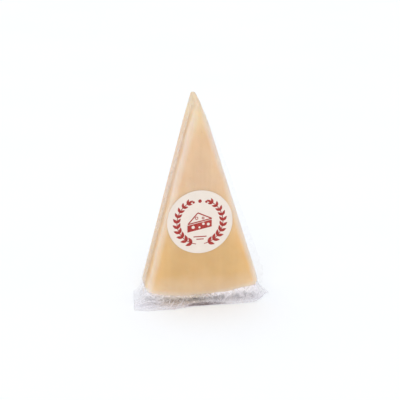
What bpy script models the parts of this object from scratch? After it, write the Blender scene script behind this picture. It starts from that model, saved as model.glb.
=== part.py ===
"""A wedge of hard sheep's-milk cheese in clear vacuum film, standing on its rind with the point up.

The wedge is a slice of a wheel: two flat triangular cut faces, two narrow cut sides that meet
in the point, and the curved rind at the bottom.  The film hugs it.  What is loose of the film is
modelled here: a fin along the right side, a fin folded back flat on the left side, and the
crumpled foot that the wedge stands in.  A round paper label sits on the front face.

Metres, +Z up, front face towards -Y.  The origin is on the floor, in the middle of the object.
"""

import math

import bmesh
import bpy
from mathutils import Vector, noise

MM = 0.001

# ---- Driving dimensions -------------------------------------------------------------------
# The wedge.  Both angles are measured from the plumb line through the point.
WHEEL_RADIUS = 165.0 * MM
LEFT_ANGLE = math.radians(14.6)
RIGHT_ANGLE = math.radians(17.1)
THICKNESS = 28.0 * MM
EDGE_RADIUS = 2.8 * MM
TIP_RADIUS = 2.9 * MM
CORNER_RADIUS = 6.0 * MM
LIFT = 3.0 * MM                 # height of the rind's lowest point above the floor
GAP = 0.3 * MM                  # clearance between pieces that touch

# The paper label, centred on the front face.
LABEL_DIAMETER = 50.0 * MM
LABEL_THICKNESS = 0.4 * MM
LABEL_RIGHT = 1.0 * MM          # right of the plumb line through the point
LABEL_DOWN = 103.0 * MM         # below the wheel's centre

# The film's fins, where its front and back sheets are sealed together.
FIN_THICKNESS = 1.0 * MM
FIN_TOP = 16.0 * MM             # where the fins start, along the side from the wheel's centre
FIN_WIDTH_TOP = 1.2 * MM
FIN_WIDTH_MID = 6.0 * MM
FIN_WIDTH_LOW = 9.0 * MM
FIN_TUCK = 6.0 * MM             # how far the fins run on into the foot
FIN_TUCK_SHARE = 0.6            # how much narrower they end there
FIN_CRINKLE = 1.1 * MM
FIN_CRINKLE_PITCH = 6.5 * MM
FIN_SEGMENTS = (66, 4)
RIGHT_FOLD = math.radians(12.0)  # turned back from straight out
LEFT_FOLD = math.radians(84.0)   # laid back almost flat on the side
LEFT_SEAM_Y = -1.0 * MM          # where the left fin starts, across the thickness
LEFT_FIN_SCALE = 1.45            # the left fin is this much wider than the right one

# The crumpled foot, measured out from the wedge's own footprint.
FOOT_LEFT_REACH = 9.5 * MM
FOOT_RIGHT_REACH = 9.0 * MM
FOOT_FRONT_REACH = 4.0 * MM      # in the middle, where the film hangs close in front of the rind
FOOT_WING_REACH = 6.5 * MM
FOOT_WING_START = 22.0 * MM      # from here to the right wing the front hem spreads
FOOT_FLAP_REACH = 13.0 * MM      # the flap that lies forward at the left
FOOT_BACK_REACH = 6.0 * MM
FLAP_RIGHT_END = -17.0 * MM      # where the flap runs out, across the face
FLAP_BLEND = 6.0 * MM
FOOT_RIM = 1.3 * MM
FOOT_COLLAR = 2.2 * MM           # how far the film climbs above the rind's edge
FOOT_CREST = 0.12                # share of the slope that keeps the crest's full height
PLEAT_PITCH = 7.0 * MM
PLEAT_HEIGHT = 1.5 * MM
FLAP_CORNER_REACH = 9.0 * MM     # the flap's square corner at the far left
RIGHT_WING_START = 38.0 * MM     # where the front hem starts to round off into the right wing
RIGHT_WING_FRONT = -6.0 * MM     # the right wing's foremost point, across the thickness
LEFT_WING_BACK = 15.0 * MM
RIGHT_WING_BACK = 12.0 * MM
WING_DRAW = 4.5 * MM             # how far both ends draw in from front to back
FOOT_COLUMNS = 76
FOOT_ROWS = 26
WING_SHARE = 0.13                # share of the columns in each wing
FRONT_SHARE = 0.40               # share of the rows in front of the wedge
BACK_SHARE = 0.30                # share of the rows behind it

WHEEL_CENTRE_Z = LIFT + WHEEL_RADIUS


# ---- Small helpers ------------------------------------------------------------------------
def clear_scene():
    for obj in list(bpy.data.objects):
        bpy.data.objects.remove(obj, do_unlink=True)


def new_collection(name):
    collection = bpy.data.collections.new(name)
    bpy.context.scene.collection.children.link(collection)
    return collection


def principled(name, colour, roughness, alpha=1.0):
    material = bpy.data.materials.new(name)
    material.use_nodes = True
    shader = material.node_tree.nodes["Principled BSDF"]
    shader.inputs["Base Color"].default_value = (*colour, 1.0)
    shader.inputs["Roughness"].default_value = roughness
    shader.inputs["Metallic"].default_value = 0.0
    shader.inputs["Alpha"].default_value = alpha
    material.diffuse_color = (*colour, 1.0)
    return material


def add_object(name, mesh, collection, material=None):
    obj = bpy.data.objects.new(name, mesh)
    collection.objects.link(obj)
    if material:
        mesh.materials.clear()
        mesh.materials.append(material)
    return obj


def evaluated_mesh(obj, name):
    """A curve's mesh, with its matching points joined and each flat cap made one face."""
    graph = bpy.context.evaluated_depsgraph_get()
    mesh = bpy.data.meshes.new_from_object(obj.evaluated_get(graph))
    mesh.name = name
    mesh.transform(obj.matrix_world)
    bm = bmesh.new()
    bm.from_mesh(mesh)
    bmesh.ops.remove_doubles(bm, verts=bm.verts, dist=0.005 * MM)
    bmesh.ops.dissolve_limit(bm, angle_limit=math.radians(0.2), verts=bm.verts, edges=bm.edges)
    bm.to_mesh(mesh)
    bm.free()
    bpy.data.objects.remove(obj, do_unlink=True)
    return mesh


def smoothstep(low, high, value):
    share = min(max((value - low) / (high - low), 0.0), 1.0)
    return share * share * (3.0 - 2.0 * share)


def ragged(x, pitch, seed, amount):
    """A factor near 1 that wanders along an edge."""
    return 1.0 + amount * noise.noise(Vector((x / pitch, seed, 0.0)))


def mix(start, end, share):
    return start + (end - start) * share


def arc(centre, radius, start, end, steps):
    """Points on an arc, from one direction to another, both ends included."""
    points = []
    for i in range(steps + 1):
        angle = start + (end - start) * i / steps
        points.append((centre[0] + radius * math.cos(angle), centre[1] + radius * math.sin(angle)))
    return points


# ---- The wedge ----------------------------------------------------------------------------
def wedge_outline(grow=0.0):
    """The wedge seen from the front, with round corners, grown outwards by a clearance.

    The wheel's centre is (0, 0), the sides run down from it, and the rind is an arc round it.
    """
    half = 0.5 * (LEFT_ANGLE + RIGHT_ANGLE)
    lean = 0.5 * (RIGHT_ANGLE - LEFT_ANGLE)
    tip_distance = TIP_RADIUS / math.sin(half)
    tip = (tip_distance * math.sin(lean), -tip_distance * math.cos(lean))

    corner_distance = WHEEL_RADIUS - CORNER_RADIUS
    inset = math.asin(CORNER_RADIUS / corner_distance)
    right = RIGHT_ANGLE - inset
    left = LEFT_ANGLE - inset
    right_corner = (corner_distance * math.sin(right), -corner_distance * math.cos(right))
    left_corner = (-corner_distance * math.sin(left), -corner_distance * math.cos(left))

    quarter = 0.5 * math.pi
    points = arc(tip, TIP_RADIUS + grow, math.pi - LEFT_ANGLE, RIGHT_ANGLE, 10)
    points += arc(right_corner, CORNER_RADIUS + grow, RIGHT_ANGLE, right - quarter, 7)
    points += arc((0.0, 0.0), WHEEL_RADIUS + grow, right - quarter, -left - quarter, 28)[1:-1]
    points += arc(left_corner, CORNER_RADIUS + grow, -left - quarter, -math.pi - LEFT_ANGLE, 7)
    return points


def wedge_object(name, grow, collection, material=None):
    """The wedge as a solid: its outline extruded to its thickness, with rounded edges."""
    outline = wedge_outline(grow)
    curve = bpy.data.curves.new(name + "_outline", "CURVE")
    curve.dimensions = "2D"
    curve.fill_mode = "BOTH"
    curve.extrude = 0.5 * THICKNESS + grow
    spline = curve.splines.new("POLY")
    spline.points.add(len(outline) - 1)
    for point, (x, z) in zip(spline.points, outline):
        point.co = (x, z, 0.0, 1.0)
    spline.use_cyclic_u = True
    flat = bpy.data.objects.new(name + "_flat", curve)
    flat.rotation_euler = (0.5 * math.pi, 0.0, 0.0)
    flat.location = (0.0, 0.0, WHEEL_CENTRE_Z)
    collection.objects.link(flat)
    bpy.context.view_layer.update()
    mesh = evaluated_mesh(flat, name)

    obj = add_object(name, mesh, collection, material)
    rounding = obj.modifiers.new("rounded_edges", "BEVEL")
    rounding.width = EDGE_RADIUS + grow
    rounding.segments = 4
    rounding.limit_method = "ANGLE"
    rounding.angle_limit = math.radians(60.0)
    rounding.use_clamp_overlap = False
    mesh.shade_smooth()
    mesh.set_sharp_from_angle(angle=math.radians(40.0))
    return obj


# ---- The label ----------------------------------------------------------------------------
def label_object(collection, material):
    """A disc of paper, just in front of the front face."""
    bm = bmesh.new()
    bmesh.ops.create_cone(
        bm,
        cap_ends=True,
        segments=96,
        radius1=0.5 * LABEL_DIAMETER,
        radius2=0.5 * LABEL_DIAMETER,
        depth=LABEL_THICKNESS,
    )
    mesh = bpy.data.meshes.new("label")
    bm.to_mesh(mesh)
    bm.free()
    obj = add_object("label", mesh, collection, material)
    obj.rotation_euler = (0.5 * math.pi, 0.0, 0.0)
    front = -0.5 * THICKNESS - GAP - 0.5 * LABEL_THICKNESS
    obj.location = (LABEL_RIGHT, front, WHEEL_CENTRE_Z - LABEL_DOWN)
    mesh.shade_smooth()
    mesh.set_sharp_from_angle(angle=math.radians(40.0))
    return obj


# ---- The film -----------------------------------------------------------------------------
def fin_width(along):
    """Width of a fin at a distance down the side: wider towards the foot, which swallows it."""
    middle = 0.5 * WHEEL_RADIUS
    upper = (FIN_WIDTH_MID - FIN_WIDTH_TOP) * smoothstep(FIN_TOP, middle, along)
    lower = (FIN_WIDTH_LOW - FIN_WIDTH_MID) * smoothstep(middle, WHEEL_RADIUS, along)
    tuck = smoothstep(WHEEL_RADIUS - FIN_TUCK, WHEEL_RADIUS + FIN_TUCK, along)
    return (FIN_WIDTH_TOP + upper + lower) * (1.0 - FIN_TUCK_SHARE * tuck)


def fin_object(name, side, seam_y, fold, width_scale, collection):
    """A thin crinkled strip that stands off one side.  side is 1 for right and -1 for left."""
    angle = RIGHT_ANGLE if side > 0 else LEFT_ANGLE
    down = Vector((side * math.sin(angle), 0.0, -math.cos(angle)))
    out = Vector((side * math.cos(angle), 0.0, math.sin(angle)))
    back = Vector((0.0, 1.0, 0.0))
    across = out * math.cos(fold) + back * math.sin(fold)
    proud = out * math.sin(fold) - back * math.cos(fold)
    start = Vector((0.0, seam_y, WHEEL_CENTRE_Z)) + out * (GAP + 0.6 * FIN_THICKNESS)
    foot_end = WHEEL_RADIUS + FIN_TUCK

    bm = bmesh.new()
    bmesh.ops.create_grid(bm, x_segments=FIN_SEGMENTS[0], y_segments=FIN_SEGMENTS[1], size=1.0)
    for vert in bm.verts:
        along = mix(FIN_TOP, foot_end, 0.5 * (vert.co.x + 1.0))
        share = 0.5 * (vert.co.y + 1.0)
        width = fin_width(along) * width_scale * ragged(along, 5.0 * MM, 3.0 * side, 0.12)
        spot = Vector((along / FIN_CRINKLE_PITCH, 2.0 * share, 7.0 * side))
        crinkle = FIN_CRINKLE * share * (0.5 + 0.5 * noise.noise(spot))
        vert.co = start + down * along + across * (width * share) + proud * crinkle
    bmesh.ops.recalc_face_normals(bm, faces=bm.faces)
    mesh = bpy.data.meshes.new(name)
    bm.to_mesh(mesh)
    bm.free()
    obj = add_object(name, mesh, collection)
    solid = obj.modifiers.new("film_thickness", "SOLIDIFY")
    solid.thickness = FIN_THICKNESS
    solid.offset = 0.0
    return obj


def rind_height(x):
    """Height of the rind above the floor, level past the wedge's corners."""
    left = -WHEEL_RADIUS * math.sin(LEFT_ANGLE)
    right = WHEEL_RADIUS * math.sin(RIGHT_ANGLE)
    reach = min(max(x, left), right)
    return WHEEL_CENTRE_Z - math.sqrt(WHEEL_RADIUS ** 2 - reach ** 2)


def hem_front(x, left_out):
    """The foot's front hem: a flap at the left, a narrow hem, and a rounded right wing."""
    flap = 1.0 - smoothstep(FLAP_RIGHT_END - FLAP_BLEND, FLAP_RIGHT_END + FLAP_BLEND, x)
    spread = smoothstep(FOOT_WING_START, RIGHT_WING_START, x)
    reach = mix(FOOT_FRONT_REACH, FOOT_WING_REACH, spread)
    reach = mix(reach, FOOT_FLAP_REACH, flap) * ragged(x, 8.0 * MM, 11.0, 0.1)
    hem = -0.5 * THICKNESS - reach
    hem = mix(hem, -0.5 * THICKNESS - FLAP_CORNER_REACH, left_out ** 2)
    wing_end = WHEEL_RADIUS * math.sin(RIGHT_ANGLE) + FOOT_RIGHT_REACH
    return mix(hem, RIGHT_WING_FRONT, smoothstep(RIGHT_WING_START, wing_end, x) ** 2)


def hem_back(x, left_out, right_out):
    """The foot's back hem, drawn in towards both wings."""
    hem = 0.5 * THICKNESS + FOOT_BACK_REACH * ragged(x, 10.0 * MM, 23.0, 0.25)
    hem = mix(hem, LEFT_WING_BACK, left_out ** 2)
    return mix(hem, RIGHT_WING_BACK, right_out ** 2)


def pleats(x, y):
    """Folds of the gathered film, running out from the wedge."""
    wander = noise.noise(Vector((x / (18.0 * MM), y / (14.0 * MM), 5.0)))
    wave = math.sin(2.0 * math.pi * (x / PLEAT_PITCH + 1.3 * wander))
    small = noise.noise(Vector((x / (3.6 * MM), y / (4.5 * MM), 9.0)))
    return 0.6 * PLEAT_HEIGHT * (wave + small)


def foot_point(a, b):
    """A point of the foot's upper side.  a runs from the left hem to the right, b front to back."""
    left = -WHEEL_RADIUS * math.sin(LEFT_ANGLE)
    right = WHEEL_RADIUS * math.sin(RIGHT_ANGLE)
    left_out = max(0.0, 1.0 - a / WING_SHARE)
    right_out = max(0.0, 1.0 - (1.0 - a) / WING_SHARE)
    front_out = max(0.0, 1.0 - b / FRONT_SHARE)
    back_out = max(0.0, 1.0 - (1.0 - b) / BACK_SHARE)

    across = min(max((a - WING_SHARE) / (1.0 - 2.0 * WING_SHARE), 0.0), 1.0)
    drawn = WING_DRAW * b
    x = mix(left, right, across)
    x += right_out * (FOOT_RIGHT_REACH - drawn) - left_out * (FOOT_LEFT_REACH - drawn)

    front = hem_front(x, left_out)
    back = hem_back(x, left_out, right_out)
    wing = max(left_out, right_out)
    face_front = mix(-0.5 * THICKNESS, mix(front, back, 0.3), wing)
    face_back = mix(0.5 * THICKNESS, mix(front, back, 0.7), wing)
    deep = min(max((b - FRONT_SHARE) / (1.0 - FRONT_SHARE - BACK_SHARE), 0.0), 1.0)
    y = mix(face_front, face_back, deep)
    y = mix(y, front, front_out)
    y = mix(y, back, back_out)

    outward = min(1.0, math.hypot(wing, max(front_out, back_out)))
    slope = (1.0 - smoothstep(FOOT_CREST, 1.25, outward)) ** 1.2
    height = mix(FOOT_RIM, rind_height(x) + FOOT_COLLAR, slope)
    height += pleats(x, y) * math.sin(math.pi * min(1.0, FOOT_CREST + outward))
    return Vector((x, y, max(height, 0.8 * FOOT_RIM)))


def foot_object(name, collection):
    """The crumpled foot: flat underneath, climbing from its hem to the wedge's lower edge."""
    bm = bmesh.new()
    bmesh.ops.create_grid(bm, x_segments=FOOT_COLUMNS, y_segments=FOOT_ROWS, size=1.0)
    for vert in bm.verts:
        vert.co = foot_point(0.5 * (vert.co.x + 1.0), 0.5 * (vert.co.y + 1.0))

    hem = bmesh.ops.extrude_face_region(bm, geom=bm.faces[:])
    lower = [item for item in hem["geom"] if isinstance(item, bmesh.types.BMVert)]
    for vert in lower:
        vert.co.z = 0.0
    lower_faces = [item for item in hem["geom"] if isinstance(item, bmesh.types.BMFace)]
    bmesh.ops.dissolve_faces(bm, faces=lower_faces, use_verts=False)
    bmesh.ops.recalc_face_normals(bm, faces=bm.faces)
    mesh = bpy.data.meshes.new(name)
    bm.to_mesh(mesh)
    bm.free()
    return add_object(name, mesh, collection)


def film_object(collection, guides, material):
    """Foot and fins in one piece, with the wedge and its clearance taken out."""
    film = foot_object("film", collection)
    film.data.materials.append(material)

    joined = bpy.data.collections.new("film_fins")
    guides.children.link(joined)
    right = fin_object("fin_right", 1, 0.0, RIGHT_FOLD, 1.0, joined)
    left = fin_object("fin_left", -1, LEFT_SEAM_Y, LEFT_FOLD, LEFT_FIN_SCALE, joined)
    cutter = wedge_object("wedge_clearance", GAP, guides)

    union = film.modifiers.new("fins", "BOOLEAN")
    union.operation = "UNION"
    union.operand_type = "COLLECTION"
    union.collection = joined
    cut = film.modifiers.new("wedge_space", "BOOLEAN")
    cut.operation = "DIFFERENCE"
    cut.object = cutter
    for helper in (right, left, cutter):
        helper.hide_render = True
        helper.display_type = "WIRE"
    return film


# ---- The whole ----------------------------------------------------------------------------
def shift_to_origin(objects):
    """How far to move the pieces, to bring the floor point under their middle to the origin."""
    bpy.context.view_layer.update()
    graph = bpy.context.evaluated_depsgraph_get()
    corners = []
    for obj in objects:
        placed = obj.evaluated_get(graph)
        corners += [placed.matrix_world @ vert.co for vert in placed.data.vertices]
    middle_x = 0.5 * (min(c.x for c in corners) + max(c.x for c in corners))
    middle_y = 0.5 * (min(c.y for c in corners) + max(c.y for c in corners))
    lowest = min(c.z for c in corners)
    return Vector((-middle_x, -middle_y, -lowest))


def main():
    clear_scene()
    parts = new_collection("cheese_wedge")
    guides = new_collection("guides")

    paste = principled("cheese_paste", (0.80, 0.56, 0.31), 0.45)
    paper = principled("label_paper", (0.86, 0.79, 0.70), 0.55)
    clear_film = principled("clear_film", (0.86, 0.86, 0.87), 0.12, alpha=0.35)

    cheese = wedge_object("cheese", 0.0, parts, paste)
    label = label_object(parts, paper)
    film = film_object(parts, guides, clear_film)

    shift = shift_to_origin([cheese, label, film])
    for obj in list(parts.objects) + list(guides.all_objects):
        obj.location += shift


main()
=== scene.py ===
"""A wedge of hard sheep's-milk cheese in clear vacuum film, with a round paper label.

The cheese, the tight film over it, the film's two side fins, its crumpled foot, the label and the
label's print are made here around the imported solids.  Metres, +Z up, front face towards -Y.
"""

import math
import random

import bmesh
import bpy
import numpy as np
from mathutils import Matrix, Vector, noise
from mathutils.bvhtree import BVHTree
from mathutils.geometry import tessellate_polygon


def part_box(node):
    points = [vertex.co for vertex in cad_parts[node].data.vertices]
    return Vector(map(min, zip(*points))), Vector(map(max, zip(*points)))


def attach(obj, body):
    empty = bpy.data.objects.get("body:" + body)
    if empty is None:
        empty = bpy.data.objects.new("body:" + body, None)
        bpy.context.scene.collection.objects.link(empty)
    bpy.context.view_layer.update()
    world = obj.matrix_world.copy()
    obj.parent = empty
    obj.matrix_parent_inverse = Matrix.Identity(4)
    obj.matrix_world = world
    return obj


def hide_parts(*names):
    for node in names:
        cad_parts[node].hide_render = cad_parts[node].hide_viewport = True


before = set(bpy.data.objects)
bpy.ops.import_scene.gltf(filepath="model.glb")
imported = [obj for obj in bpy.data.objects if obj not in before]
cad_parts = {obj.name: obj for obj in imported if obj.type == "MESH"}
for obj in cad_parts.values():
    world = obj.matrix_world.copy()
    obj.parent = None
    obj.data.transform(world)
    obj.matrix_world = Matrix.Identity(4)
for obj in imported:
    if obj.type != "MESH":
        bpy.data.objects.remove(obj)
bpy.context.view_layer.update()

bl_info = {
    "name": "Cheese wedge in vacuum film",
    "version": (1, 0, 0),
    "blender": (4, 5, 0),
    "location": "View3D > Sidebar > Cheese wedge",
    "description": "Dresses the packed solids of a cheese wedge with paste, film, label and stage",
    "category": "Add Mesh",
}

MM = 0.001

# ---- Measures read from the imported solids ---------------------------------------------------
CHEESE_LOW, CHEESE_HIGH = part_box("cheese")
LABEL_LOW, LABEL_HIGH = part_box("label")
LABEL_CENTRE = 0.5 * (LABEL_LOW + LABEL_HIGH)
LABEL_RADIUS = 0.5 * (LABEL_HIGH.x - LABEL_LOW.x)
MID_Y = 0.5 * (CHEESE_LOW.y + CHEESE_HIGH.y)
HALF_THICKNESS = 0.5 * (CHEESE_HIGH.y - CHEESE_LOW.y)

# ---- Driving dimensions of the wedge, as in the solids --------------------------------------
WHEEL_RADIUS = 165.0 * MM
LEFT_ANGLE = math.radians(14.6)
RIGHT_ANGLE = math.radians(17.1)
TIP_RADIUS = 2.4 * MM             # the solid's is a little blunter
CORNER_RADIUS = 6.0 * MM
LABEL_RIGHT = 1.0 * MM            # the label's centre, right of the plumb line through the point
WHEEL_X = LABEL_CENTRE.x - LABEL_RIGHT
WHEEL_Z = CHEESE_LOW.z + WHEEL_RADIUS


# ---- Sizes and colours that a user would change ---------------------------------------------
def length(name, description, value):
    return bpy.props.FloatProperty(
        name=name, description=description, default=value, min=0.0, unit="LENGTH", precision=5)


def colour(name, description, value):
    return bpy.props.FloatVectorProperty(
        name=name, description=description, default=value, min=0.0, max=1.0, size=3, subtype="COLOR")


def share(name, description, value):
    return bpy.props.FloatProperty(
        name=name, description=description, default=value, min=0.0, max=1.0, subtype="FACTOR")


class CheeseSettings(bpy.types.PropertyGroup):
    edge_radius: length("Edge radius", "Rounding of the wedge's long edges", 5.2 * MM)
    tip_wear: length("Tip wear", "How far the point's ridge sinks towards the front", 4.0 * MM)
    unevenness: length("Unevenness", "How far the cut faces wander inwards", 0.16 * MM)
    wire_mark: length("Wire mark depth", "Depth of the faint marks of the cutting wire", 0.05 * MM)
    pit_depth: length("Pit depth", "Depth of the small openings in the paste", 0.22 * MM)
    pits: bpy.props.IntProperty(name="Pits", description="Openings on each face", default=46, min=0)
    paste_tip: colour("Tip paste", "Colour of the paste in the point", (0.81, 0.61, 0.345))
    # Darker than the tip: painted shade on the point's upward face.
    paste_apex_shade: colour("Apex paste", "Colour of the paste at the very point", (0.70, 0.53, 0.335))
    paste_pale: colour("Pale paste", "Colour of the paste below the point", (0.765, 0.515, 0.295))
    paste_mid: colour("Middle paste", "Colour of the paste above the label", (0.745, 0.508, 0.31))
    paste_deep: colour("Deep paste", "Colour of the paste below the label", (0.712, 0.445, 0.172))
    paste_low: colour("Low paste", "Colour of the paste above the rind", (0.765, 0.52, 0.26))
    # A pale colour and a share that paint a highlight and sheen along the wedge's edges.
    paste_sheen: colour("Sheen paste", "Colour of the paste's paler edges", (0.82, 0.78, 0.73))
    sheen: share("Edge bloom", "How pale the paste turns along its edges", 0.8)
    glow: share("Glow", "Share of the light that travels under the surface", 0.30)


class FilmSettings(bpy.types.PropertyGroup):
    skin_gap: length("Skin gap", "Clearance of the tight film over the paste", 0.12 * MM)
    skin_wrinkle: length("Skin wrinkle", "Height of the wrinkles along the edges", 0.10 * MM)
    thickness: length("Thickness", "Thickness of the loose film", 0.12 * MM)
    fin_width: length("Fin width", "Width of the fins near the foot", 7.5 * MM)
    fin_crinkle: length("Fin crinkle", "Height of the fins' crinkles", 0.7 * MM)
    seam_width: length("Seam width", "Width of the weld along the left side", 5.5 * MM)
    fold_height: length("Fold height", "Height of the foot's larger folds", 2.2 * MM)
    fold_pitch: length("Fold pitch", "Distance between the foot's larger folds", 6.0 * MM)
    clear: colour("Clear film", "What the film lets through", (0.99, 0.989, 0.991))
    steep: colour("Steep film", "What the foot's film lets through where it is steep", (0.80, 0.765, 0.805))
    # A warm tint for the foot under the rind's front: painted shade of the rind's underside.
    warm_shade: colour("Warm shade film", "What greasy film under the rind lets through", (0.93, 0.85, 0.78))
    # A dark tint for the tucked roll: it paints the contact shadow under the front hem.
    tuck: colour("Tuck shadow film", "What the layers under the rind let through", (0.62, 0.55, 0.56))
    weld: colour("Weld", "What the weld on the left side lets through", (0.945, 0.90, 0.85))
    haze: colour("Haze", "Colour of the light that creased film scatters", (0.975, 0.95, 0.99))


class LabelSettings(bpy.types.PropertyGroup):
    paper: colour("Paper", "Colour of the label's paper", (0.825, 0.735, 0.655))
    ink: colour("Ink", "Colour of the print", (0.35, 0.025, 0.019))
    ink_rise: length("Ink rise", "How far the print stands off the paper", 0.03 * MM)
    wreath_radius: length("Wreath radius", "Radius of the two leafy branches", 17.6 * MM)


class StageSettings(bpy.types.PropertyGroup):
    floor: colour("Floor", "Colour of the floor", (0.92, 0.95, 0.985))
    sky: bpy.props.FloatProperty(
        name="Sky", description="Strength of the even light from all round", default=0.78, min=0.0)
    key: bpy.props.FloatProperty(
        name="Key", description="Strength of the soft light from the front left", default=0.7, min=0.0)
    low: bpy.props.FloatProperty(
        name="Low", description="Strength of the low light from the left", default=0.06, min=0.0)
    top: bpy.props.FloatProperty(
        name="Top", description="Strength of the soft light from above", default=0.5, min=0.0)
    camera_distance: length("Camera distance", "Distance from the camera to the wedge", 1000.0 * MM)
    camera_lens: bpy.props.FloatProperty(
        name="Camera lens", description="Focal length in millimetres", default=118.5, min=1.0)


# ---- Small helpers --------------------------------------------------------------------------
RIDGE_SHARPNESS = 2.6
CREASE_BEND = 0.22                # how far noise bends the straight creases, in pitches
CREASE_TURN = 2.4                 # from one of their directions to the next, in radians,
CREASE_SPREAD = 0.31              # how much further apart each next direction's creases are,
CREASE_SHIFT = 0.37               # and how far they are moved sideways, in pitches
CREASE_HEIGHT = 1.4               # makes up for the creases that fade out
FACET_BEND = 0.25                 # how far noise bends the facets, in pitches
FLAT_NORMAL = 0.99                # a normal that goes this far to the front or back is taken as level


def smoothstep(low, high, value):
    part = min(max((value - low) / (high - low), 0.0), 1.0)
    return part * part * (3.0 - 2.0 * part)


def mix(start, end, part):
    return start + (end - start) * part


def blend(start, end, parts):
    """Points from start to end, one for each part, as rows of an array."""
    parts = np.asarray(parts, float)[:, None]
    return np.asarray(start) * (1.0 - parts) + np.asarray(end) * parts


def arc(centre, radius, start, end, steps):
    angles = np.linspace(start, end, steps + 1)
    return np.asarray(centre) + radius * np.stack((np.cos(angles), np.sin(angles)), 1)


# Smooth noise, about -1 to 1: at a place, in the solid, over a plane and along a line.
def ripple(x, y, z):
    return noise.noise(Vector((x, y, z)))


def wander(x, y, z, pitch):
    return ripple(x / pitch, y / pitch, z / pitch)


def drift(x, y, pitch, seed):
    return ripple(x / pitch, y / pitch, seed)


def flutter(along, pitch, seed):
    return ripple(along / pitch, seed, 0.0)


def ridge(x, y, seed):
    """A sharp crest where the noise crosses zero: 1 on the crest, 0 in the valleys."""
    return max(0.0, 1.0 - RIDGE_SHARPNESS * abs(ripple(x, y, seed)))


def crumple(x, y, pitch, seed, ways):
    """Straight creases that cross in several directions, as in crumpled film: 0 to 1."""
    total = 0.0
    bend = CREASE_BEND * drift(x, y, 2.2 * pitch, seed)
    for way in range(ways):
        turn = seed + CREASE_TURN * way
        reach = pitch * (1.0 + CREASE_SPREAD * way)
        across = (x * math.cos(turn) + y * math.sin(turn)) / reach + bend + CREASE_SHIFT * way
        fold = 1.0 - 2.0 * abs(across - math.floor(across) - 0.5)
        strength = 0.5 + 0.9 * drift(x, y, 1.6 * pitch, seed + way)
        total += max(0.0, strength) * fold
    return min(1.0, CREASE_HEIGHT * total / ways)


def facets(x, y, pitch, seed):
    """Hollows with flat sides that meet in sharp crests, about a pitch across: 0 to 1."""
    bend = FACET_BEND * drift(x, y, 1.7 * pitch, seed + 4.0)
    place = Vector((x / pitch + bend, y / pitch - bend, seed))
    return min(1.0, noise.voronoi(place, distance_metric="MANHATTAN")[0][0])


def add_piece(name, points, faces, material, smooth=True):
    mesh = bpy.data.meshes.new(name)
    mesh.from_pydata([tuple(p) for p in points], [], [tuple(f) for f in faces])
    mesh.validate()
    mesh.update()
    if smooth:
        mesh.shade_smooth()
    mesh.materials.append(material)
    piece = bpy.data.objects.new(name, mesh)
    bpy.context.scene.collection.objects.link(piece)
    return piece


def finish_piece(piece, node):
    if not piece.data.polygons:
        raise RuntimeError(f"{piece.name} came out empty")
    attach(piece, "root")
    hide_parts(node)


def lattice(rows, columns, closed=False, first=0):
    """Quads over a lattice of rows and columns, closed round the columns or open."""
    faces = []
    for row in range(rows - 1):
        for column in range(columns if closed else columns - 1):
            following = (column + 1) % columns
            low, high = first + row * columns, first + (row + 1) * columns
            faces.append((low + column, high + column, high + following, low + following))
    return faces


def tube(rows, columns):
    """Quads round a closed lattice, with a face over each of its two ends."""
    last = (rows - 1) * columns
    ends = [tuple(range(columns)), tuple(range(last + columns - 1, last - 1, -1))]
    return lattice(rows, columns, closed=True) + ends


def feeler(name, context):
    """A search tree that finds where a ray hits a finished piece."""
    return BVHTree.FromObject(bpy.data.objects[name], context.evaluated_depsgraph_get())


def relief(piece, height):
    """Moves each point of a piece along its normal by height(point, normal).

    On the flat front and back the way is exactly -Y or +Y, so that narrow faces can't fold over.
    """
    mesh = piece.data
    normals = [v.normal.copy() for v in mesh.vertices]
    for normal in normals:
        if abs(normal.y) > FLAT_NORMAL:
            normal[:] = (0.0, math.copysign(1.0, normal.y), 0.0)
    moves = [height(v.co, n) for v, n in zip(mesh.vertices, normals)]
    for vert, normal, move in zip(mesh.vertices, normals, moves):
        vert.co += normal * move
    mesh.update()


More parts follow.
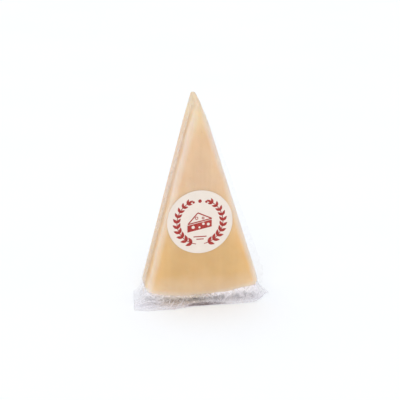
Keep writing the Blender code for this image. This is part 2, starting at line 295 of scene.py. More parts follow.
# ---- Node helpers ---------------------------------------------------------------------------
class Nodes:
    """Short ways to add and join the nodes of one material."""

    def __init__(self, name):
        self.material = bpy.data.materials.new(name)
        self.material.use_nodes = True
        self.tree = self.material.node_tree
        self.tree.nodes.clear()
        self.output = self.tree.nodes.new("ShaderNodeOutputMaterial")
        self.place = self.tree.nodes.new("ShaderNodeTexCoord").outputs["Object"]

    def add(self, kind, values=(), **settings):
        node = self.tree.nodes.new(kind)
        for key, value in settings.items():
            setattr(node, key, value)
        for key, value in dict(values).items():
            node.inputs[key].default_value = value
        return node

    def join(self, source, node, key):
        self.tree.links.new(source, node.inputs[key])

    def axes(self):
        """The object's coordinates, as sockets named X, Y and Z."""
        node = self.add("ShaderNodeSeparateXYZ")
        self.join(self.place, node, "Vector")
        return node.outputs

    def feed(self, value, node, key):
        """Joins a socket to an input, or sets a number or colour that is the same all over."""
        if isinstance(value, bpy.types.NodeSocket):
            self.join(value, node, key)
        elif isinstance(value, (int, float)):
            node.inputs[key].default_value = value
        else:
            node.inputs[key].default_value = (*value, 1.0)

    def noise(self, scale, detail, stretch=(1.0, 1.0, 1.0)):
        mapping = self.add("ShaderNodeMapping", {"Scale": stretch})
        self.join(self.place, mapping, "Vector")
        texture = self.add("ShaderNodeTexNoise", {"Scale": scale, "Detail": detail})
        self.join(mapping.outputs["Vector"], texture, "Vector")
        return texture.outputs["Fac"]

    def patches(self, scale, detail, low=0.35, high=0.65, stretch=(1.0, 1.0, 1.0)):
        """Soft uneven patches: 0 where the noise is under low, 1 where it is over high."""
        return self.level(self.noise(scale, detail, stretch), low, high)

    def sway(self, scale, reach):
        """Slow noise that goes as far as reach to either side of 0."""
        return self.level(self.noise(scale, detail=2.0), 0.3, 0.7, -reach, reach)

    def level(self, source, low, high, to_low=0.0, to_high=1.0):
        values = {"From Min": low, "From Max": high, "To Min": to_low, "To Max": to_high}
        node = self.add("ShaderNodeMapRange", values)
        self.join(source, node, "Value")
        return node.outputs["Result"]

    def level_ramp(self, source, stops):
        """Numbers along a source, as pairs of position and value."""
        return self.ramp(source, [(position, (value, value, value)) for position, value in stops])

    def ramp(self, source, stops):
        node = self.add("ShaderNodeValToRGB")
        elements = node.color_ramp.elements
        while len(elements) < len(stops):
            elements.new(0.5)
        for element, (position, tint) in zip(elements, stops):
            element.position = position
            element.color = (*tint, 1.0)
        self.join(source, node, "Fac")
        return node.outputs["Color"]

    def tint(self, first, second, factor, mode="MIX"):
        """first and second are a socket or a colour; factor is a socket or a number."""
        node = self.add("ShaderNodeMix", data_type="RGBA", blend_type=mode)
        for key, value in ((0, factor), (6, first), (7, second)):
            self.feed(value, node, key)
        return node.outputs[2]

    def stain_or_shade(self, base, colour, factor):
        """The base, multiplied by a colour as far as the factor goes."""
        return self.tint(base, colour, factor, "MULTIPLY")

    def math(self, operation, first, second):
        node = self.add("ShaderNodeMath", operation=operation)
        self.feed(first, node, 0)
        self.feed(second, node, 1)
        return node.outputs[0]

    def times(self, first, second):
        return self.math("MULTIPLY", first, second)

    def plus(self, first, second):
        return self.math("ADD", first, second)

    def dot(self, vector, offset):
        """The object's coordinates times a vector, plus a number."""
        node = self.add("ShaderNodeVectorMath", {1: vector}, operation="DOT_PRODUCT")
        self.join(self.place, node, 0)
        return self.plus(node.outputs["Value"], offset)

    def distance(self, centre):
        """Distance from a line through centre that runs from front to back."""
        away = self.add("ShaderNodeVectorMath", {1: centre}, operation="SUBTRACT")
        self.join(self.place, away, 0)
        flat = self.add("ShaderNodeVectorMath", {1: (1.0, 0.0, 1.0)}, operation="MULTIPLY")
        self.join(away.outputs["Vector"], flat, 0)
        node = self.add("ShaderNodeVectorMath", operation="LENGTH")
        self.join(flat.outputs["Vector"], node, 0)
        return node.outputs["Value"]

    def bump(self, source, height, strength, normal=None):
        node = self.add("ShaderNodeBump", {"Distance": height, "Strength": strength})
        self.join(source, node, "Height")
        if normal is not None:
            self.join(normal, node, "Normal")
        return node.outputs["Normal"]

    def mix_shader(self, first, second, factor):
        node = self.add("ShaderNodeMixShader")
        self.feed(factor, node, "Fac")
        self.join(first, node, 1)
        self.join(second, node, 2)
        return node.outputs["Shader"]

    def shine(self, roughness):
        return self.add("ShaderNodeBsdfGlossy", {"Color": (1.0, 1.0, 1.0, 1.0), "Roughness": roughness})

    def finish(self, shader):
        self.join(shader, self.output, "Surface")
        return self.material

    def finish_opaque(self, colour, roughness, values, normal=None):
        """Finishes an opaque material.  roughness is a socket or a number."""
        shader = self.add("ShaderNodeBsdfPrincipled", values)
        self.join(colour, shader, "Base Color")
        self.feed(roughness, shader, "Roughness")
        if normal is not None:
            self.join(normal, shader, "Normal")
        return self.finish(shader.outputs["BSDF"])


# ---- The wedge's form -----------------------------------------------------------------------
SIDE_OVER = 0.11                  # share of each straight side that the top run takes in
COLUMNS = {"tip": 16, "side": 40, "corner": 10, "rind": 76}
SIDE_ROWS = 200
ROUND_STEPS = 9                   # steps round an edge
ACROSS_STEPS = 18                 # and across the thickness between two edges
SHARP_TIP = 0.5 * MM              # the least rounding of the point, seen from the front
WORN_LENGTH = 24.0 * MM           # how far down from the point it is worn
WORN_EVENLY = 0.28                # the part of the wear that is the same from front to back
SIDE_POWER = 2.0                  # how square the long edges are: 2 is a quarter circle
RIND_POWER = 8.0                  # and the edges along the rind

# A painted highlight and sheen along the wedge's edges, which also paints light into the shade of the
# rounding above the rind. How pale it turns: from one distance to another, from one share to another.
PALE_LEFT = (1.5 * MM, 6.5 * MM, 0.55, 0.0)
PALE_RIGHT = (0.0, 5.0 * MM, 0.85, 0.0)
PALE_RIND = (0.0, 6.0 * MM, 0.75, 0.0)
PALE_ABOVE_RIND = (0.0, 17.0 * MM, 0.22, 0.0)
CORNER_LEFT = (0.3 * MM, 1.4 * MM, 0.2, 1.0)          # less so right on the two corners,
CORNER_RIGHT = (-0.3 * MM, 0.7 * MM, 0.5, 1.0)
CORNER_TIP = (7.0 * MM, 26.0 * MM, 0.25, 1.0)         # and in the point


def outline_runs(grow):
    """The wedge seen from the front, as four runs of points, grown outwards by a clearance.

    Left to right over the point, left to right along the rind, and down both sides, from the
    wheel's centre at (0, 0).  Each run has as many points for any clearance.
    """
    half = 0.5 * (LEFT_ANGLE + RIGHT_ANGLE)
    lean = 0.5 * (RIGHT_ANGLE - LEFT_ANGLE)
    round_tip = max(TIP_RADIUS + grow, SHARP_TIP)
    reach = (round_tip - grow) / math.sin(half)
    tip = (reach * math.sin(lean), -reach * math.cos(lean))
    far = WHEEL_RADIUS - CORNER_RADIUS
    inset = math.asin(CORNER_RADIUS / far)
    right, left = RIGHT_ANGLE - inset, LEFT_ANGLE - inset
    right_corner = (far * math.sin(right), -far * math.cos(right))
    left_corner = (-far * math.sin(left), -far * math.cos(left))
    quarter = 0.5 * math.pi

    over_tip = arc(tip, round_tip, math.pi - LEFT_ANGLE, RIGHT_ANGLE, COLUMNS["tip"])
    at_left = arc(left_corner, CORNER_RADIUS + grow, math.pi - LEFT_ANGLE, 1.5 * math.pi - left,
                  COLUMNS["corner"])
    along = arc((0.0, 0.0), WHEEL_RADIUS + grow, -quarter - left, right - quarter, COLUMNS["rind"])
    at_right = arc(right_corner, CORNER_RADIUS + grow, right - quarter, RIGHT_ANGLE, COLUMNS["corner"])

    shares = np.linspace(SIDE_OVER, 1.0, SIDE_ROWS + 1)
    left_side = blend(over_tip[0], at_left[0], shares)
    right_side = blend(over_tip[-1], at_right[-1], shares)
    short = np.linspace(0.0, SIDE_OVER, COLUMNS["side"] + 1)
    up_left = blend(over_tip[0], at_left[0], short[::-1])
    down_right = blend(over_tip[-1], at_right[-1], short)
    over = np.concatenate((up_left[:-1], over_tip, down_right[1:]))
    rind = np.concatenate((at_left[:-1], along, at_right[1:]))
    return over, rind, left_side, right_side


def coons_patch(over, rind, left_side, right_side):
    """A lattice of points inside four runs, rows from the top down, columns left to right."""
    u = np.linspace(0.0, 1.0, len(over))[None, :, None]
    v = np.linspace(0.0, 1.0, len(left_side))[:, None, None]
    between_rows = (1.0 - v) * over[None] + v * rind[None]
    between_sides = (1.0 - u) * left_side[:, None] + u * right_side[:, None]
    corners = ((1.0 - u) * (1.0 - v) * over[0] + u * (1.0 - v) * over[-1]
               + (1.0 - u) * v * rind[0] + u * v * rind[-1])
    return between_rows + between_sides - corners


def worn(x, y, z, tip_wear):
    """A point of the wedge, lowered where the point's ridge is worn: most at the front."""
    top = WHEEL_Z - TIP_RADIUS / math.sin(0.5 * (LEFT_ANGLE + RIGHT_ANGLE)) + TIP_RADIUS
    near = smoothstep(0.0, 1.0, 1.0 - (top - z) / WORN_LENGTH)
    forward = min(max(0.5 - 0.5 * (y - MID_Y) / HALF_THICKNESS, 0.0), 1.0)
    return x, y, z - near * tip_wear * (WORN_EVENLY + forward)


def rounded_slab(grow, edge_radius, tip_wear):
    """Points and quads of the wedge with its rounded edges, grown outwards by a clearance."""
    half = HALF_THICKNESS + grow
    radius = edge_radius + grow
    patch = coons_patch(*outline_runs(grow - radius))
    rows, columns = patch.shape[:2]
    flat = patch.reshape(-1, 2)
    points = [(x, -half, z) for x, z in flat] + [(x, half, z) for x, z in flat]
    behind = len(flat)
    faces = lattice(rows, columns)
    faces += [tuple(behind + i for i in reversed(face)) for face in faces]

    rim = list(range(columns))
    rim += [r * columns + columns - 1 for r in range(1, rows)]
    rim += [(rows - 1) * columns + c for c in range(columns - 2, -1, -1)]
    rim += [r * columns for r in range(rows - 2, 0, -1)]

    along_rind = rind_shares()
    previous = rim
    for step in range(1, 2 * ROUND_STEPS + ACROSS_STEPS):
        inset, y = edge_profile(step, half, radius, SIDE_POWER)
        loop = outline_loop(grow + inset)
        low_inset, low_y = edge_profile(step, half, radius, RIND_POWER)
        low_loop = outline_loop(grow + low_inset)
        start = len(points)
        for low, (x, z), (low_x, low_z) in zip(along_rind, loop, low_loop):
            points.append((mix(x, low_x, low), mix(y, low_y, low), mix(z, low_z, low)))
        current = list(range(start, start + len(loop)))
        faces += ring_faces(previous, current)
        previous = current
    faces += ring_faces(previous, [behind + i for i in rim])
    placed = [worn(x + WHEEL_X, y + MID_Y, z + WHEEL_Z, tip_wear) for x, y, z in points]
    return placed, faces


def outline_loop(grow):
    """The wedge's outline as one closed loop, clockwise as seen from the front."""
    over, rind, left_side, right_side = outline_runs(grow)
    return np.concatenate((over, right_side[1:], rind[-2::-1], left_side[-2:0:-1]))


def rind_shares():
    """For each point of outline_loop 1 along the rind, 0 along the sides, between at the corners."""
    corner = COLUMNS["corner"]
    rising = [smoothstep(0.0, corner, i) for i in range(corner + 1)]
    along = rising + [1.0] * (COLUMNS["rind"] - 1) + rising[::-1]
    over = 2 * COLUMNS["side"] + COLUMNS["tip"] + 1
    return [0.0] * (over + SIDE_ROWS) + along[-2::-1] + [0.0] * (SIDE_ROWS - 1)


def edge_profile(step, half, radius, power):
    """Inset and depth of one ring between the flat front and the flat back."""
    last = 2 * ROUND_STEPS + ACROSS_STEPS
    if step > last - ROUND_STEPS:
        inset, y = edge_profile(last - step, half, radius, power)
        return inset, -y
    if step > ROUND_STEPS:
        part = (step - ROUND_STEPS) / ACROSS_STEPS
        return 0.0, mix(-half + radius, half - radius, part)
    turn = 0.5 * math.pi * step / ROUND_STEPS
    side = math.sin(turn) ** (2.0 / power)
    front = max(math.cos(turn), 0.0) ** (2.0 / power)
    return radius * (side - 1.0), -half + radius * (1.0 - front)


def ring_faces(first, second):
    """Quads between two loops of as many points."""
    faces = []
    for i in range(len(first)):
        j = (i + 1) % len(first)
        faces.append((first[i], first[j], second[j], second[i]))
    return faces


def from_edges(point):
    """Distances of a point, seen from the front, from the left side, right side and rind."""
    x, z = point.x - WHEEL_X, point.z - WHEEL_Z
    to_left = x * math.cos(LEFT_ANGLE) - z * math.sin(LEFT_ANGLE)
    to_right = -x * math.cos(RIGHT_ANGLE) - z * math.sin(RIGHT_ANGLE)
    return to_left, to_right, WHEEL_RADIUS - math.hypot(x, z)


def edge_distances(nodes):
    """Sockets with the distances from the left side, the right side and the wheel's centre."""
    left_way = (math.cos(LEFT_ANGLE), 0.0, -math.sin(LEFT_ANGLE))
    right_way = (-math.cos(RIGHT_ANGLE), 0.0, -math.sin(RIGHT_ANGLE))
    to_left = nodes.dot(left_way, WHEEL_Z * math.sin(LEFT_ANGLE) - WHEEL_X * math.cos(LEFT_ANGLE))
    to_right = nodes.dot(right_way, WHEEL_Z * math.sin(RIGHT_ANGLE) + WHEEL_X * math.cos(RIGHT_ANGLE))
    sway = nodes.sway(scale=60.0, reach=0.7 * MM)
    from_centre = nodes.distance((WHEEL_X, 0.0, WHEEL_Z))
    return nodes.plus(to_left, sway), nodes.plus(to_right, sway), from_centre


def painted_edge_sheen(nodes, to_left, to_right, from_centre):
    """The painted highlight and sheen towards the wedge's edges, how pale it turns: a socket, 0 inside the
    faces.
    """
    to_rind = nodes.math("SUBTRACT", WHEEL_RADIUS, from_centre)
    left = nodes.times(nodes.level(to_left, *PALE_LEFT), nodes.level(to_left, *CORNER_LEFT))
    right = nodes.times(nodes.level(to_right, *PALE_RIGHT), nodes.level(to_right, *CORNER_RIGHT))
    below_tip = nodes.level(from_centre, *CORNER_TIP)
    sides = nodes.times(nodes.math("MAXIMUM", left, right), below_tip)
    low = nodes.plus(nodes.level(to_rind, *PALE_RIND), nodes.level(to_rind, *PALE_ABOVE_RIND))
    return nodes.plus(sides, low)


# ---- Paste ----------------------------------------------------------------------------------
CLOUD_STAIN = (0.90, 0.84, 0.76)  # what the paste's colour is multiplied by: in its clouds,
STREAK_STAIN = (1.04, 1.05, 1.08)           # in the streaks of the cut,
BESIDE_GAIN = (1.14, 1.15, 1.12)           # along the sides
GRAIN_STAIN = (1.06, 1.07, 1.10)            # and in its fine grain
PIT_MARGIN = 5.0 * MM             # how far the openings stay from the edges
PIT_SIZES = (0.8 * MM, 1.9 * MM)  # least and greatest radius
PIT_SEEDS = {-1: 5, 1: 8}         # for the front and for the back
UNEVEN_PITCH = 22.0 * MM          # how far apart the cut faces' rises and hollows are
WIRE_PITCH = 1.6 * MM             # the wire's marks: how far apart they are,
WIRE_LENGTH = 60.0 * MM           # how long,
WIRE_PATCH = 30.0 * MM            # and how large the patches that show them
FLAT_FACE = 0.95                  # a face whose normal goes this far to the front or back is flat


def paste_material(cfg):
    nodes = Nodes("cheese_paste")
    height = nodes.plus(nodes.axes()["Z"], nodes.sway(scale=38.0, reach=6.0 * MM))
    rise = nodes.level(height, CHEESE_LOW.z, CHEESE_HIGH.z)
    # Paler towards the point: partly the paste's own tone, partly a painted glare of the film on the upper
    # face.
    base = nodes.ramp(rise, [
        (0.05, cfg.paste_low),
        (0.13, cfg.paste_deep),
        (0.24, cfg.paste_deep),
        (0.60, cfg.paste_mid),
        (0.82, cfg.paste_pale),
        (0.95, cfg.paste_tip),
        # The very point is darker: painted shade on its upward face.
        (0.99, cfg.paste_apex_shade),
    ])
    cloud = nodes.patches(scale=95.0, detail=4.0)
    base = nodes.stain_or_shade(base, CLOUD_STAIN, nodes.times(cloud, 0.45))
    streak = nodes.patches(scale=420.0, detail=2.0, low=0.42, high=0.62, stretch=(1.0, 1.0, 0.05))
    base = nodes.stain_or_shade(base, STREAK_STAIN, nodes.times(streak, 0.6))
    to_left, to_right, from_centre = edge_distances(nodes)
    beside = nodes.level(nodes.math("MINIMUM", to_left, to_right), 2.0 * MM, 17.0 * MM, 1.0, 0.0)
    beside = nodes.times(beside, nodes.level(rise, 0.3, 0.9, 1.0, 0.35))
    # On the left side's own plane this brightening is halved: painted shade on that plane.
    beside = nodes.times(beside, nodes.level(to_left, 0.3 * MM, 1.8 * MM, 0.5, 1.0))
    base = nodes.stain_or_shade(base, BESIDE_GAIN, beside)
    # Paler towards the edges: a painted highlight and sheen, and painted light on the shade of the low
    # rounding.
    sheen = painted_edge_sheen(nodes, to_left, to_right, from_centre)
    base = nodes.tint(base, cfg.paste_sheen, nodes.times(sheen, cfg.sheen))
    grain = nodes.patches(scale=1500.0, detail=2.0, low=0.35, high=0.7)
    base = nodes.stain_or_shade(base, GRAIN_STAIN, nodes.times(grain, 0.5))

    fine = nodes.bump(nodes.noise(scale=1400.0, detail=3.0), height=0.06 * MM, strength=0.6)
    normal = nodes.bump(nodes.noise(scale=260.0, detail=3.0), height=0.18 * MM, strength=0.5, normal=fine)
    glow = {
        "Specular IOR Level": 0.25,
        "Subsurface Weight": cfg.glow,
        "Subsurface Radius": (1.0, 0.55, 0.28),
        "Subsurface Scale": 4.0 * MM,
    }
    return nodes.finish_opaque(base, nodes.level(grain, 0.0, 1.0, 0.5, 0.62), glow, normal)


def pit_places(count, seed):
    """Random places on the front or the back face, each with a radius."""
    draw = random.Random(seed)
    places = []
    while len(places) < count:
        spot = Vector((draw.uniform(CHEESE_LOW.x, CHEESE_HIGH.x), 0.0,
                       draw.uniform(CHEESE_LOW.z, CHEESE_HIGH.z)))
        if min(from_edges(spot)) > PIT_MARGIN:
            places.append((spot.x, spot.z, draw.uniform(*PIT_SIZES)))
    return places


class CHEESE_OT_add_wedge(bpy.types.Operator):
    """Add the wedge of paste with its rounded edges, wire marks and small openings"""
    bl_idname = "cheese.add_wedge"
    bl_label = "Add the cheese"

    def execute(self, context):
        cfg = context.scene.cheese_wedge
        points, faces = rounded_slab(0.0, cfg.edge_radius, cfg.tip_wear)
        piece = add_piece("cheese_wedge", points, faces, paste_material(cfg))
        pits = {way: pit_places(cfg.pits, seed) for way, seed in PIT_SEEDS.items()}

        def height(point, normal):
            sunk = cfg.unevenness * (0.5 + 0.5 * wander(*point, UNEVEN_PITCH))
            mark = ripple(point.x / WIRE_PITCH, point.y / WIRE_PITCH, point.z / WIRE_LENGTH)
            patch = smoothstep(-0.1, 0.5, wander(*point, WIRE_PATCH))
            sunk += cfg.wire_mark * patch * (0.5 + 0.5 * mark)
            if abs(normal.y) > FLAT_FACE:
                for x, z, radius in pits[1 if normal.y > 0.0 else -1]:
                    away = math.hypot(point.x - x, point.z - z)
                    if away < radius:
                        sunk += cfg.pit_depth * (1.0 - (away / radius) ** 2)
            return -sunk

        relief(piece, height)
        finish_piece(piece, "cheese")
        return {"FINISHED"}


# ---- Film -----------------------------------------------------------------------------------
GLANCE_POWER = 4.5                # how fast the film's shine grows towards a glancing view
LAYER_SHARE = 0.8                 # how much of their full tint several layers have where they are thin
SKIN_WANDER = 0.02 * MM           # how far the tight film stands off unevenly
SKIN_PITCH = 15.0 * MM            # and how far apart those places are
SIDE_REACH = 4.0 * MM             # how far its wrinkles reach in from the sides
RIND_REACH = 8.0 * MM             # and from the rind
SIDE_WRINKLES = (6.0 * MM, 22.0 * MM)       # how far apart the wrinkles are along the sides, and how long
RIND_WRINKLES = (5.0 * MM, 14.0 * MM)       # and the same along the rind
SIDE_WRINKLE = 0.3                # how high they are along the sides, beside those along the rind


def film_shine(nodes, clear, gloss, head_on, at_glance, normal=None):
    """The shine over a clear shader: how much it reflects head on and at a glance.

    It also gives a socket that goes from 0 head on to 1 at a glance.
    """
    shine = nodes.shine(gloss)
    facing = nodes.add("ShaderNodeLayerWeight", {"Blend": 0.5})
    if normal is not None:
        nodes.join(normal, shine, "Normal")
        nodes.join(normal, facing, "Normal")
    grazing = nodes.math("POWER", facing.outputs["Facing"], GLANCE_POWER)
    mirrored = nodes.level(grazing, 0.0, 1.0, head_on, at_glance)
    film = nodes.mix_shader(clear.outputs["BSDF"], shine.outputs["BSDF"], mirrored)
    return film, facing.outputs["Facing"]


def film_milk(nodes, colour, onwards):
    """The light that creased film scatters; onwards is the share that goes on through the film."""
    back = nodes.add("ShaderNodeBsdfDiffuse")
    through = nodes.add("ShaderNodeBsdfTranslucent")
    nodes.feed(colour, back, "Color")
    nodes.feed(colour, through, "Color")
    return nodes.mix_shader(back.outputs["BSDF"], through.outputs["BSDF"], onwards)


def film_material(name, cfg, haze, gloss, head_on, at_glance, added_sheen=None):
    """Clear film: light passes straight through, shines on it, and scatters where it is creased.

    haze is the least and the most share of light that it scatters, head_on and at_glance how
    much it reflects, and the last argument a function that gives a socket to add to the haze: a painted
    sheen.
    """
    nodes = Nodes(name)
    clear = nodes.add("ShaderNodeBsdfTransparent", {"Color": (*cfg.clear, 1.0)})
    crease = nodes.bump(nodes.noise(scale=620.0, detail=2.0), height=0.05 * MM, strength=0.3)
    film = film_shine(nodes, clear, gloss, head_on, at_glance, crease)[0]
    scatter = nodes.level(nodes.noise(scale=240.0, detail=3.0), 0.4, 0.68, *haze)
    if added_sheen is not None:
        scatter = nodes.plus(scatter, added_sheen(nodes))
    return nodes.finish(nodes.mix_shader(film, film_milk(nodes, cfg.haze, onwards=0.4), scatter))


def layered_material(name, colour, scale, gloss, mirror, stretch=(1.0, 1.0, 1.0)):
    """Several layers of film, pressed together: they let less through in soft patches."""
    nodes = Nodes(name)
    layers = nodes.add("ShaderNodeBsdfTransparent")
    thinner = [1.0 - LAYER_SHARE * (1.0 - c) for c in colour]
    dense = nodes.patches(scale, detail=2.0, stretch=stretch)
    nodes.join(nodes.tint(thinner, colour, dense), layers, "Color")
    shine = nodes.shine(gloss)
    return nodes.finish(nodes.mix_shader(layers.outputs["BSDF"], shine.outputs["BSDF"], mirror))


def skin_edge_sheen(nodes):
    """How milky the tight film is where it is drawn over the wedge's edges: a painted sheen, like the
    paste's.
    """
    return nodes.times(painted_edge_sheen(nodes, *edge_distances(nodes)), 0.2)


class CHEESE_OT_add_skin(bpy.types.Operator):
    """Add the tight film over the paste, drawn into small wrinkles along the edges"""
    bl_idname = "cheese.add_skin"
    bl_label = "Add the tight film"

    def execute(self, context):
        cfg = context.scene.cheese_film
        # Made milky along the wedge's edges: a painted sheen.
        material = film_material("clear_film_skin", cfg, haze=(0.0, 0.02), gloss=0.2, head_on=0.05,
                                 at_glance=0.34, added_sheen=skin_edge_sheen)
        wedge = context.scene.cheese_wedge
        points, faces = rounded_slab(cfg.skin_gap, wedge.edge_radius, wedge.tip_wear)
        piece = add_piece("film_skin", points, faces, material)

        def height(point, normal):
            to_left, to_right, to_rind = from_edges(point)
            near_side = math.exp(-max(0.0, min(to_left, to_right)) / SIDE_REACH)
            near_rind = math.exp(-max(0.0, to_rind) / RIND_REACH)
            down = math.hypot(point.x - WHEEL_X, point.z - WHEEL_Z)
            side = ridge(down / SIDE_WRINKLES[0], point.y / SIDE_WRINKLES[1], 3.0)
            rind = ridge(point.x / RIND_WRINKLES[0], point.z / RIND_WRINKLES[1], 7.0)
            broad = SKIN_WANDER * (1.0 + wander(*point, SKIN_PITCH))
            return broad + cfg.skin_wrinkle * max(SIDE_WRINKLE * near_side * side, near_rind * rind)

        relief(piece, height)
        finish_piece(piece, "film")
        return {"FINISHED"}


FIN_TOP = 14.0 * MM               # where the fins start, down from where the sides would meet
FIN_TUCK = 5.0 * MM               # how far they go on below the rind's corners
FIN_ROWS = 330
FIN_COLUMNS = 18
FIN_START = 0.25 * MM             # their clearance from the paste
FIN_CREASE = 7.0 * MM             # the pitch of their creases,
FIN_CREASE_WAYS = 4               # the number of the creases' directions,
FIN_DEPTH = 9.0 * MM              # and how much of the crumpled pattern goes across
RIGHT_FOLD = math.radians(12.0)   # how far each fin is folded back
LEFT_FOLD = math.radians(86.5)
FIN_TORN = ((0.16, 4.0 * MM, 3.0), (0.06, 1.3 * MM, 5.0))     # their edge's waves: share, pitch, seed
FIN_CURL = 1.4                    # the power by which their crinkles grow towards that edge
FIN_LEAST = 0.13                  # their width at the top, as a share of the widest,
FIN_UPPER = 0.5                   # what they gain down the upper half,
FIN_LOWER = 0.35                  # and down the lower half
FIN_DRAWN_IN = 0.5                # the share of it that is drawn in below the rind's corners
LEFT_FIN_SCALE = 1.5              # how much wider the left fin is
LEFT_CRINKLE = 0.35               # and how much of the right one's crinkle it has
SEAM_HIGH_Y = -6.2 * MM           # where the left seam runs, across the thickness: at the point
SEAM_LOW_Y = -3.4 * MM            # and at the rind
SEAM_START = 0.16 * MM            # the seam's clearance from the paste
SEAM_RISE = 0.22 * MM             # how far its bead stands proud,
SEAM_SWAY = 0.25 * MM             # how far it sways to either side,
SEAM_PITCH = 9.0 * MM             # and how far apart those bends are
SEAM_COLUMNS = 9


def side_ways(side):
    """Directions down one side and straight out from it.  side is 1 for right and -1 for left."""
    angle = RIGHT_ANGLE if side > 0 else LEFT_ANGLE
    down = Vector((side * math.sin(angle), 0.0, -math.cos(angle)))
    out = Vector((side * math.cos(angle), 0.0, math.sin(angle)))
    return down, out


def seam_y(side, along):
    """Where a side's seam runs across the thickness, at a distance down the side."""
    if side > 0:
        return 0.0
    return mix(SEAM_HIGH_Y, SEAM_LOW_Y, along / WHEEL_RADIUS)


def fin_width(along, widest):
    """A fin's width at a distance down the side: narrow at the top, widest at the foot."""
    middle = 0.5 * WHEEL_RADIUS
    upper = FIN_UPPER * widest * smoothstep(FIN_TOP, middle, along)
    lower = FIN_LOWER * widest * smoothstep(middle, WHEEL_RADIUS, along)
    tuck = smoothstep(WHEEL_RADIUS - FIN_TUCK, WHEEL_RADIUS + FIN_TUCK, along)
    return (FIN_LEAST * widest + upper + lower) * (1.0 - FIN_DRAWN_IN * tuck)


def fin_piece(name, side, fold, scale, crinkle, material, cfg):
    """A crinkled strip of two sealed sheets that stands off one side of the wedge."""
    down, out = side_ways(side)
    back = Vector((0.0, 1.0, 0.0))
    across = out * math.cos(fold) + back * math.sin(fold)
    proud = out * math.sin(fold) - back * math.cos(fold)
    points = []
    for row in range(FIN_ROWS):
        along = mix(FIN_TOP, WHEEL_RADIUS + FIN_TUCK, row / (FIN_ROWS - 1))
        start = Vector((WHEEL_X, MID_Y + seam_y(side, along), WHEEL_Z)) + out * FIN_START
        torn = 1.0
        for depth, pitch, seed in FIN_TORN:
            torn += depth * flutter(along, pitch, seed * side)
        width = fin_width(along, cfg.fin_width) * scale * torn
        for column in range(FIN_COLUMNS):
            part = column / (FIN_COLUMNS - 1)
            crease = crumple(along, FIN_DEPTH * part, FIN_CREASE, 12.0 + side, FIN_CREASE_WAYS)
            lift = crinkle * part ** FIN_CURL * crease
            points.append(start + down * along + across * (width * part) + proud * lift)
    piece = add_piece(name, points, lattice(FIN_ROWS, FIN_COLUMNS), material)
    solid = piece.modifiers.new("sheet", "SOLIDIFY")
    solid.thickness = cfg.thickness
    solid.offset = 0.0
    return piece


class CHEESE_OT_add_fins(bpy.types.Operator):
    """Add the film's side fins: one off the right side, one folded back flat on the left side"""
    bl_idname = "cheese.add_fins"
    bl_label = "Add the film's fins"

    def execute(self, context):
        cfg = context.scene.cheese_film
        clear = film_material("clear_film_fin", cfg, haze=(0.0, 0.03), gloss=0.12, head_on=0.02,
                              at_glance=0.3)
        right = fin_piece("film_fin_right", 1, RIGHT_FOLD, 1.0, cfg.fin_crinkle, clear, cfg)
        milky = film_material("clear_film_fold", cfg, haze=(0.0, 0.16), gloss=0.2, head_on=0.02,
                              at_glance=0.16)
        crinkle = LEFT_CRINKLE * cfg.fin_crinkle
        left = fin_piece("film_fin_left", -1, LEFT_FOLD, LEFT_FIN_SCALE, crinkle, milky, cfg)
        for piece in (right, left):
            finish_piece(piece, "film")
        return {"FINISHED"}


class CHEESE_OT_add_seam(bpy.types.Operator):
    """Add the weld that the left fin folds over, a low bead down the left side"""
    bl_idname = "cheese.add_seam"
    bl_label = "Add the left seam"

    def execute(self, context):
        cfg = context.scene.cheese_film
        down, out = side_ways(-1)
        points = []
        for row in range(FIN_ROWS):
            along = mix(FIN_TOP, WHEEL_RADIUS, row / (FIN_ROWS - 1))
            middle = Vector((WHEEL_X, MID_Y + seam_y(-1, along) - 0.5 * cfg.seam_width, WHEEL_Z))
            sway = SEAM_SWAY * flutter(along, SEAM_PITCH, 41.0)
            for column in range(SEAM_COLUMNS):
                part = 1.0 - 2.0 * column / (SEAM_COLUMNS - 1)
                rise = SEAM_START + SEAM_RISE * (1.0 - part * part)
                aside = Vector((0.0, 0.5 * cfg.seam_width * part + sway, 0.0))
                points.append(middle + down * along + out * rise + aside)
        weld = layered_material("clear_film_weld", cfg.weld, scale=70.0, gloss=0.3, mirror=0.03,
                                stretch=(1.0, 1.0, 0.3))
        piece = add_piece("film_seam", points, lattice(FIN_ROWS, SEAM_COLUMNS), weld)
        finish_piece(piece, "film")
        return {"FINISHED"}


# The crumpled foot, measured from the middle of the wedge's thickness and from the point's plumb line.
FOOT_LEFT = -WHEEL_RADIUS * math.sin(LEFT_ANGLE)      # the ends of the wedge's own footprint
FOOT_RIGHT = WHEEL_RADIUS * math.sin(RIGHT_ANGLE)
HEM_LEFT = FOOT_LEFT - 9.3 * MM                       # and of the hem
HEM_RIGHT = FOOT_RIGHT + 8.8 * MM
WING_DRAW = 4.5 * MM              # how far both ends draw in from front to back
CURTAIN_REACH = 8.0 * MM          # in front of the middle, where the film hangs almost straight
FLAP_REACH = 11.6 * MM            # how far the film reaches out elsewhere: in front at the left,
CORNER_REACH = 9.0 * MM           # at the left front corner,
WING_REACH = 9.2 * MM             # in front at the right
BACK_REACH = 6.0 * MM             # and behind
BACK_CORNER = 13.0 * MM           # where the hem's back corners lie, behind the middle,
BACK_ROUND = 8.0 * MM             # and how far in from the footprint's ends they start to round
FRONT_WAVE = 0.06                 # how unevenly the hem reaches out in front, as a share,
FRONT_PITCH = 7.0 * MM            # and how far apart its waves are
BACK_WAVE = 0.2                   # and the same two behind
BACK_PITCH = 10.0 * MM
CORNER_ROUND = 2.0 * MM           # how far in from the footprint's left end the front corner starts
FLAP_CUT = (-21.0 * MM, -5.0 * MM)          # between these the flap's right end slants back
WING_START = 9.0 * MM             # the right wing: where it starts,
WING_FULL = 20.0 * MM             # where it is out in full,
WING_SPREAD = 0.7                 # how much less straight than the curtain it hangs there,
WING_ROUND = 36.0 * MM            # where its end starts to round
